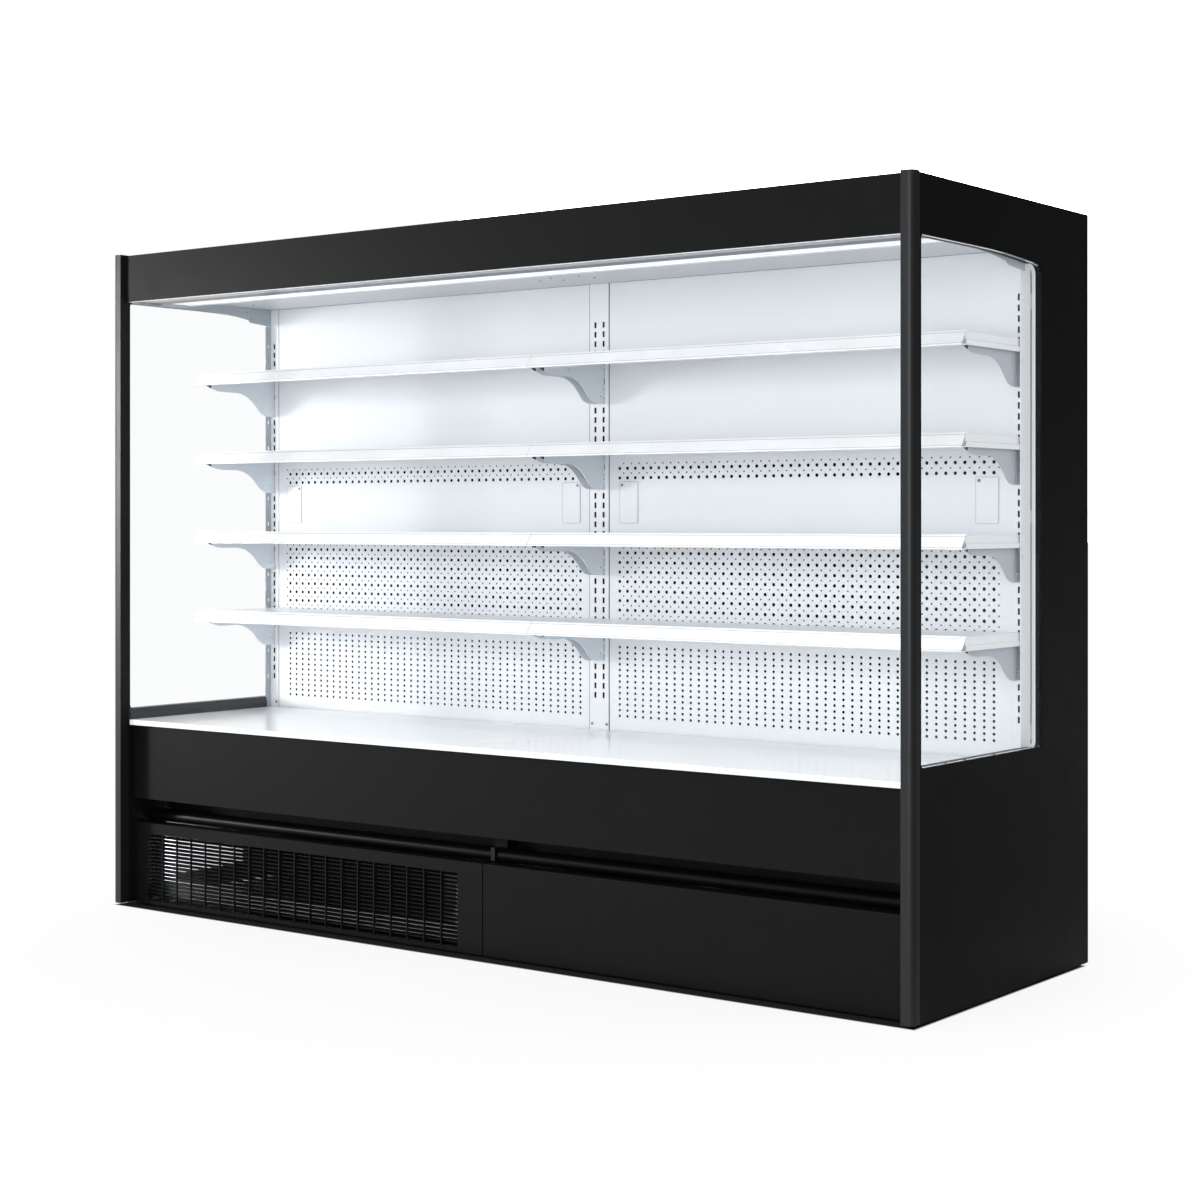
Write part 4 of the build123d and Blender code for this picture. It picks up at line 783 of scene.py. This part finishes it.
def sheet_band_tree():
    """One band of a back panel: plain margins and, between them, plain or holed sheet."""
    tree, given, out = new_group(
        "sheet_band",
        "GeometryNodeTree",
        [
            ("Left", FLOAT, 0.0),
            ("Right", FLOAT, 1.0),
            ("Field left", FLOAT, 0.03),
            ("Columns", INTEGER, 10),
            ("Pitch", FLOAT, HOLE_PITCH),
            ("Bottom", FLOAT, 0.0),
            ("Row pitch", FLOAT, HOLE_PITCH),
            ("Rows", INTEGER, 1),
            ("Cells up", INTEGER, 1),
            ("Cell", "NodeSocketObject", None),
            ("Holed", "NodeSocketBool", False),
            ("Finish", "NodeSocketMaterial", None),
        ],
        [("Geometry", GEOMETRY)],
    )
    link = tree.links.new

    def math(operation, first, second):
        made = add_node(tree, "ShaderNodeMath", operation=operation)
        feed(tree, first, made.inputs[0])
        feed(tree, second, made.inputs[1])
        return made.outputs[0]

    def upright_grid(left, width, cells_across, height, cells_up):
        """A grid in the XZ plane from its lower left corner, facing the front."""
        grid = add_node(tree, "GeometryNodeMeshGrid")
        link(width, grid.inputs["Size X"])
        link(height, grid.inputs["Size Y"])
        link(math("ADD", cells_across, 1), grid.inputs["Vertices X"])
        link(math("ADD", cells_up, 1), grid.inputs["Vertices Y"])
        shift = add_node(tree, "ShaderNodeCombineXYZ")
        link(math("ADD", left, math("DIVIDE", width, 2)), shift.inputs["X"])
        link(math("ADD", bottom, math("DIVIDE", height, 2)), shift.inputs["Z"])
        stand = add_node(tree, "GeometryNodeTransform", inputs={"Rotation": (pi / 2, 0, 0)})
        link(grid.outputs["Mesh"], stand.inputs["Geometry"])
        link(shift.outputs[0], stand.inputs["Translation"])
        return stand.outputs["Geometry"]

    bottom = given.outputs["Bottom"]
    columns, rows = given.outputs["Columns"], given.outputs["Rows"]
    pitch, row_pitch = given.outputs["Pitch"], given.outputs["Row pitch"]
    left, right = given.outputs["Left"], given.outputs["Right"]
    field_left = given.outputs["Field left"]
    height = math("MULTIPLY", rows, row_pitch)
    cells_up = math("MULTIPLY", rows, given.outputs["Cells up"])
    field_width = math("MULTIPLY", columns, pitch)
    field_right = math("ADD", field_left, field_width)
    near_margin = upright_grid(left, math("SUBTRACT", field_left, left), 1, height, cells_up)
    far_margin = upright_grid(
        field_right, math("SUBTRACT", right, field_right), 1, height, cells_up
    )
    plain = upright_grid(field_left, field_width, math("MULTIPLY", columns, 2), height, cells_up)

    points = add_node(tree, "GeometryNodeMeshGrid")
    link(math("MULTIPLY", math("SUBTRACT", columns, 1), pitch), points.inputs["Size X"])
    link(math("MULTIPLY", math("SUBTRACT", rows, 1), row_pitch), points.inputs["Size Y"])
    link(columns, points.inputs["Vertices X"])
    link(rows, points.inputs["Vertices Y"])
    corner = add_node(tree, "ShaderNodeCombineXYZ")
    half_run = math("DIVIDE", math("MULTIPLY", math("SUBTRACT", columns, 1), pitch), 2)
    half_rise = math("DIVIDE", math("MULTIPLY", math("SUBTRACT", rows, 1), row_pitch), 2)
    link(math("ADD", field_left, half_run), corner.inputs["X"])
    link(math("ADD", bottom, half_rise), corner.inputs["Z"])
    stand = add_node(tree, "GeometryNodeTransform", inputs={"Rotation": (pi / 2, 0, 0)})
    link(points.outputs["Mesh"], stand.inputs["Geometry"])
    link(corner.outputs[0], stand.inputs["Translation"])
    cell = add_node(tree, "GeometryNodeObjectInfo")
    link(given.outputs["Cell"], cell.inputs["Object"])
    spread = add_node(tree, "GeometryNodeInstanceOnPoints")
    link(stand.outputs[0], spread.inputs["Points"])
    link(cell.outputs["Geometry"], spread.inputs["Instance"])
    choice = add_node(tree, "GeometryNodeSwitch", input_type="GEOMETRY")
    link(given.outputs["Holed"], choice.inputs["Switch"])
    link(plain, choice.inputs["False"])
    link(spread.outputs["Instances"], choice.inputs["True"])
    joined = add_node(tree, "GeometryNodeJoinGeometry")
    for part in (near_margin, choice.outputs[0], far_margin):
        link(part, joined.inputs["Geometry"])
    real = add_node(tree, "GeometryNodeRealizeInstances")
    link(joined.outputs[0], real.inputs[0])
    dressed = add_node(tree, "GeometryNodeSetMaterial")
    link(real.outputs[0], dressed.inputs["Geometry"])
    link(given.outputs["Finish"], dressed.inputs["Material"])
    link(dressed.outputs[0], out.inputs["Geometry"])
    return tree


SHEET_BAND = sheet_band_tree()


def grown(name, tree, values):
    """The plain mesh that a geometry tree makes with these named inputs."""
    host = bpy.data.objects.new(name, bpy.data.meshes.new(name))
    bpy.context.scene.collection.objects.link(host)
    modifier = host.modifiers.new("grow", "NODES")
    modifier.node_group = tree
    sockets = {
        item.name: item.identifier
        for item in tree.interface.items_tree
        if item.in_out == "INPUT"
    }
    for label, value in values.items():
        modifier[sockets[label]] = value
    bpy.context.view_layer.update()
    evaluated = host.evaluated_get(bpy.context.evaluated_depsgraph_get())
    mesh = bpy.data.meshes.new_from_object(evaluated)
    bpy.data.objects.remove(host)
    return mesh


open_cell = hole_cell("open_cell", HOLE_PITCH, HOLE_PITCH, HOLE_RADIUS)
close_cell = hole_cell("close_cell", HOLE_PITCH, CLOSE_ROW_PITCH, CLOSE_HOLE_RADIUS)


def panel_bands(low, high, fields):
    """Bands from low to high: each field of holes, and the plain sheet between them."""
    bands = []
    level = low
    for top, rows, row_pitch, cell in fields:
        bottom = top - rows * row_pitch
        bands.append((level, 1, bottom - level, 1, None))
        bands.append((bottom, rows, row_pitch, 2 if cell is open_cell else 1, cell))
        level = top
    bands.append((level, 1, high - level, 1, None))
    return bands


def back_panels(name, node, panels, body="cabinet"):
    """Both bays' panels of one node, with folded sides and real perforations."""
    low_corner, high_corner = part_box(node)
    face_y = low_corner.y
    outer_x = high_corner.x
    inner_x = upright_high.x + PANEL_SIDE_GAP
    work = bmesh.new()
    for low, high, fields in panels:
        for bottom, rows, row_pitch, cells_up, cell in panel_bands(low, high, fields):
            mesh = grown(
                name,
                SHEET_BAND,
                {
                    "Left": inner_x,
                    "Right": outer_x,
                    "Field left": inner_x + FIELD_INSET,
                    "Columns": HOLE_COLUMNS,
                    "Pitch": HOLE_PITCH,
                    "Bottom": bottom,
                    "Row pitch": row_pitch,
                    "Rows": rows,
                    "Cells up": cells_up,
                    "Cell": cell,
                    "Holed": cell is not None,
                    "Finish": wall_coat,
                },
            )
            work.from_mesh(mesh)
            bpy.data.meshes.remove(mesh)
    bmesh.ops.remove_doubles(work, verts=work.verts, dist=WELD_REACH)
    # Fold the sides back
    folds = [
        edge
        for edge in work.edges
        if edge.is_boundary
        and all(min(abs(v.co.x - inner_x), abs(v.co.x - outer_x)) < EDGE_REACH for v in edge.verts)
    ]
    folded = bmesh.ops.extrude_edge_only(work, edges=folds)["geom"]
    tips = [item for item in folded if isinstance(item, bmesh.types.BMVert)]
    bmesh.ops.translate(work, verts=tips, vec=(0, PANEL_RETURN, 0))
    bmesh.ops.translate(work, verts=work.verts, vec=(0, face_y, 0))
    mirrored = bmesh.ops.duplicate(work, geom=work.verts[:] + work.edges[:] + work.faces[:])
    twins = [item for item in mirrored["geom"] if isinstance(item, bmesh.types.BMVert)]
    bmesh.ops.scale(work, verts=twins, vec=(-1, 1, 1))
    twin_faces = [item for item in mirrored["geom"] if isinstance(item, bmesh.types.BMFace)]
    bmesh.ops.reverse_faces(work, faces=twin_faces)
    mesh = bpy.data.meshes.new(name)
    work.to_mesh(mesh)
    work.free()
    mesh.materials.clear()
    mesh.materials.append(wall_coat)
    panel = bpy.data.objects.new(name, mesh)
    bpy.context.scene.collection.objects.link(panel)
    wall = panel.modifiers.new("sheet", "SOLIDIFY")
    wall.thickness = PANEL_SHEET
    wall.offset = -1
    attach(panel, body)
    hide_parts(node)


perforated_low, perforated_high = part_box("perforated_back_panels")
plain_low, plain_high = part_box("plain_back_panels")
back_panels(
    "perforated_panels",
    "perforated_back_panels",
    [
        (
            perforated_low.z,
            perforated_high.z,
            [
                (LOWER_FIELD_TOP, LOWER_FIELD_ROWS, CLOSE_ROW_PITCH, close_cell),
                (UPPER_FIELD_TOP, UPPER_FIELD_ROWS, HOLE_PITCH, open_cell),
            ],
        )
    ],
)
back_panels(
    "upper_back_panels",
    "plain_back_panels",
    [
        (
            plain_low.z,
            PANEL_JOINT - PANEL_JOINT_GAP,
            [(STRIP_TOP, STRIP_ROWS, HOLE_PITCH, open_cell)],
        ),
        (PANEL_JOINT, plain_high.z, []),
    ],
)
for cell in (open_cell, close_cell):
    bpy.data.objects.remove(cell)


# ------------------------------------------------------------------ canopy screws
def screw_head_tree():
    """Low domed heads at the points of a mesh, turned to face away from the sheet."""
    tree, given, out = new_group(
        "screw_heads",
        "GeometryNodeTree",
        [
            ("Places", "NodeSocketObject", None),
            ("Turn", VECTOR, (0, 0, 0)),
            ("Radius", FLOAT, 0.004),
            ("Height", FLOAT, 0.002),
            ("Finish", "NodeSocketMaterial", None),
        ],
        [("Geometry", GEOMETRY)],
    )
    link = tree.links.new
    places = add_node(tree, "GeometryNodeObjectInfo")
    link(given.outputs["Places"], places.inputs["Object"])
    head = add_node(tree, "GeometryNodeMeshCone", inputs={"Vertices": SCREW_SIDES})
    crown = add_node(tree, "ShaderNodeMath", operation="MULTIPLY", inputs={1: SCREW_CROWN})
    link(given.outputs["Radius"], crown.inputs[0])
    link(crown.outputs[0], head.inputs["Radius Top"])
    link(given.outputs["Radius"], head.inputs["Radius Bottom"])
    link(given.outputs["Height"], head.inputs["Depth"])
    spread = add_node(tree, "GeometryNodeInstanceOnPoints")
    link(places.outputs["Geometry"], spread.inputs["Points"])
    link(head.outputs["Mesh"], spread.inputs["Instance"])
    link(given.outputs["Turn"], spread.inputs["Rotation"])
    real = add_node(tree, "GeometryNodeRealizeInstances")
    link(spread.outputs["Instances"], real.inputs[0])
    dressed = add_node(tree, "GeometryNodeSetMaterial")
    link(real.outputs[0], dressed.inputs["Geometry"])
    link(given.outputs["Finish"], dressed.inputs["Material"])
    link(dressed.outputs[0], out.inputs["Geometry"])
    return tree


def canopy_screws():
    """The small screws of the ceiling sheet and of the gussets."""
    tree = screw_head_tree()
    ceiling_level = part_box("canopy_ceiling")[1].z - CEILING_RISE
    gusset_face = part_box("side_liners")[1].x - LINER_SHEET
    sets = [
        ([(x, y, ceiling_level) for x, y in CEILING_SCREWS], (pi, 0, 0)),
        ([(-gusset_face, y, z) for y, z in GUSSET_SCREWS], (0, pi / 2, 0)),
        ([(gusset_face, y, z) for y, z in GUSSET_SCREWS], (0, -pi / 2, 0)),
    ]
    work = bmesh.new()
    for points, turn in sets:
        dots = bpy.data.meshes.new("screw_places")
        dots.from_pydata(points, [], [])
        marks = bpy.data.objects.new("screw_places", dots)
        values = {
            "Places": marks,
            "Turn": turn,
            "Radius": SCREW_RADIUS,
            "Height": SCREW_HEIGHT,
            "Finish": screw_steel,
        }
        mesh = grown("canopy_screws", tree, values)
        work.from_mesh(mesh)
        bpy.data.meshes.remove(mesh)
        bpy.data.objects.remove(marks)
        bpy.data.meshes.remove(dots)
    mesh = bpy.data.meshes.new("canopy_screws")
    work.to_mesh(mesh)
    work.free()
    mesh.materials.clear()
    mesh.materials.append(screw_steel)
    screws = bpy.data.objects.new("canopy_screws", mesh)
    bpy.context.scene.collection.objects.link(screws)
    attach(screws, "cabinet")


canopy_screws()


# ------------------------------------------------------------------ stage and light
def studio_floor():
    """Pale floor that holds a soft shadow and fades to plain white further out, with painted shadow
    under the cabinet and painted shade to its right.
    """
    mesh = bpy.data.meshes.new("floor")
    corners = [
        (FLOOR_REACH * x, FLOOR_REACH * y, 0) for x, y in ((-1, -1), (1, -1), (1, 1), (-1, 1))
    ]
    mesh.from_pydata(corners, [], [(0, 1, 2, 3)])
    floor = bpy.data.objects.new("floor", mesh)
    bpy.context.scene.collection.objects.link(floor)
    low, high = cad_box
    under_box = within(
        x=(low.x - FLOOR_LEFT_SHADE, high.x), y=(low.y + FLOOR_EDGE, high.y), z=(-FAR, FAR)
    )
    beside_box = within(x=(high.x, FLOOR_BESIDE_END), y=FLOOR_BESIDE_Y, z=(-FAR, FAR))
    material = coat(
        "pale_floor", FLOOR_COLOR, roughness=0.9, peel=0.0, variation=0.0,
        Specular_IOR_Level=0.1,
    )
    # painted shadow on the floor under the cabinet
    zoned(material, under_box, DEEP_SHADE, roughness=0.9)
    # painted shade beside the cabinet, seen mirrored in the end wall
    zoned(material, beside_box, FLOOR_BESIDE_SHADE, roughness=0.9, border=FLOOR_BESIDE_BORDER)
    tree = material.node_tree
    shader = tree.nodes["Principled BSDF"]
    glow = add_node(tree, "ShaderNodeEmission")
    path = add_node(tree, "ShaderNodeLightPath")
    place = add_node(tree, "ShaderNodeTexCoord")
    away = add_node(tree, "ShaderNodeVectorMath", operation="LENGTH")
    fade = add_node(
        tree,
        "ShaderNodeMapRange",
        interpolation_type="SMOOTHSTEP",
        inputs={
            "From Min": FLOOR_FADE[0],
            "From Max": FLOOR_FADE[1],
            "To Min": FLOOR_GLOW,
            "To Max": 1.0,
        },
    )
    seen = add_node(tree, "ShaderNodeMath", operation="MAXIMUM")
    share = add_node(tree, "ShaderNodeMath", operation="MULTIPLY")
    mixed = add_node(tree, "ShaderNodeMixShader")
    # Under the cabinet the floor doesn't glow
    under = add_node(tree, "ShaderNodeGroup", node_tree=ZONE_MASK)
    for label, value in zip(("Low", "High", "Border"), (*under_box, FLOOR_EDGE)):
        under.inputs[label].default_value = value
    open_floor = add_node(tree, "ShaderNodeMath", operation="SUBTRACT", inputs={0: 1.0})
    clear = add_node(tree, "ShaderNodeMath", operation="MULTIPLY")
    tree.links.new(under.outputs["Mask"], open_floor.inputs[1])
    tree.links.new(open_floor.outputs[0], clear.inputs[1])
    tree.links.new(fade.outputs["Result"], clear.inputs[0])
    tree.links.new(place.outputs["Object"], away.inputs[0])
    tree.links.new(away.outputs["Value"], fade.inputs["Value"])
    tree.links.new(path.outputs["Is Camera Ray"], seen.inputs[0])
    tree.links.new(path.outputs["Is Transmission Ray"], seen.inputs[1])
    tree.links.new(seen.outputs[0], share.inputs[0])
    tree.links.new(clear.outputs[0], share.inputs[1])
    tree.links.new(share.outputs[0], mixed.inputs["Fac"])
    tree.links.new(shader.outputs[0], mixed.inputs[1])
    tree.links.new(glow.outputs[0], mixed.inputs[2])
    tree.links.new(mixed.outputs[0], tree.nodes["Material Output"].inputs["Surface"])
    floor.data.materials.append(material)


def studio_world():
    """Soft light from all round, and plain white where it is seen, also through glass."""
    world = bpy.data.worlds.new("studio")
    bpy.context.scene.world = world
    world.use_nodes = True
    tree = world.node_tree
    tree.nodes.clear()
    light = add_node(tree, "ShaderNodeBackground")
    white = add_node(tree, "ShaderNodeBackground", inputs={"Strength": 1.0})
    place = add_node(tree, "ShaderNodeTexCoord")
    toward = add_node(tree, "ShaderNodeVectorMath", operation="DOT_PRODUCT")
    toward.inputs[1].default_value = WORLD_FALL
    fall = add_node(
        tree,
        "ShaderNodeMapRange",
        inputs={"From Min": -1.0, "From Max": 1.0, "To Min": WORLD_BRIGHT, "To Max": WORLD_DIM},
    )
    tree.links.new(place.outputs["Generated"], toward.inputs[0])
    tree.links.new(toward.outputs["Value"], fall.inputs["Value"])
    tree.links.new(fall.outputs["Result"], light.inputs["Strength"])
    light.inputs["Color"].default_value = (*WORLD_TINT, 1)
    white.inputs["Color"].default_value = (1, 1, 1, 1)
    path = add_node(tree, "ShaderNodeLightPath")
    seen = add_node(tree, "ShaderNodeMath", operation="MAXIMUM")
    tree.links.new(path.outputs["Is Camera Ray"], seen.inputs[0])
    tree.links.new(path.outputs["Is Transmission Ray"], seen.inputs[1])
    mixed = add_node(tree, "ShaderNodeMixShader")
    tree.links.new(seen.outputs[0], mixed.inputs["Fac"])
    tree.links.new(light.outputs[0], mixed.inputs[1])
    tree.links.new(white.outputs[0], mixed.inputs[2])
    out = add_node(tree, "ShaderNodeOutputWorld")
    tree.links.new(mixed.outputs[0], out.inputs["Surface"])


def area_light(name, place, aim, size, power, color=(1, 1, 1), inside=False):
    """A rectangular lamp; one inside the cabinet lights it without showing."""
    light = bpy.data.lights.new(name, "AREA")
    light.shape = "RECTANGLE"
    light.size, light.size_y = size
    light.energy = power
    light.color = color
    lamp = bpy.data.objects.new(name, light)
    lamp.location = place
    lamp.rotation_euler = (Vector(aim) - Vector(place)).to_track_quat("-Z", "Y").to_euler()
    lamp.visible_camera = not inside
    bpy.context.scene.collection.objects.link(lamp)


def studio_lights():
    """Four large soft lamps, and small ones in the machine bay and under the canopy."""
    area_light(
        "front_soft",
        place=(1.8, -6.0, 1.5),
        aim=(0, 0, 0.95),
        size=(4.0, 2.6),
        power=FRONT_POWER,
    )
    area_light(
        "left_soft",
        place=(-6.6, -4.6, 1.6),
        aim=(-0.6, -0.4, 1.0),
        size=(1.1, 1.5),
        power=LEFT_POWER,
    )
    area_light(
        "top_soft",
        place=(0, -1.5, 5.0),
        aim=(0, 0, 0),
        size=(4.0, 2.0),
        power=TOP_POWER,
    )
    area_light(
        "bay_glow",
        place=(-0.98, -0.14, 0.14),
        aim=(-1.25, -0.14, 0.14),
        size=(0.1, 0.36),
        power=BAY_POWER,
        inside=True,
    )
    area_light(
        "back_soft",
        place=(-2.5, 5.5, 2.4),
        aim=(0, 0, 0.8),
        size=(4.0, 3.0),
        power=BACK_POWER,
    )
    area_light(
        "canopy_strip",
        place=(0, -0.33, 1.655),
        aim=(0, 0.12, 0.5),
        size=(2.3, 0.05),
        power=STRIP_POWER,
        color=LAMP_TINT,
        inside=True,
    )


def photo_camera():
    """The photograph's view: a level camera with its picture shifted."""
    data = bpy.data.cameras.new("camera")
    data.sensor_width = SENSOR
    data.lens = SENSOR * CAMERA_FOCAL / PICTURE
    data.shift_x = (PICTURE / 2 - CAMERA_CENTER[0]) / PICTURE
    data.shift_y = -(PICTURE / 2 - CAMERA_CENTER[1]) / PICTURE
    data.clip_end = CAMERA_REACH
    camera = bpy.data.objects.new("camera", data)
    camera.location = CAMERA_PLACE
    camera.rotation_euler = (radians(90), 0, radians(CAMERA_TURN))
    bpy.context.scene.collection.objects.link(camera)
    bpy.context.scene.camera = camera


studio_floor()
studio_world()
studio_lights()
photo_camera()
bpy.context.scene.view_settings.view_transform = "Standard"
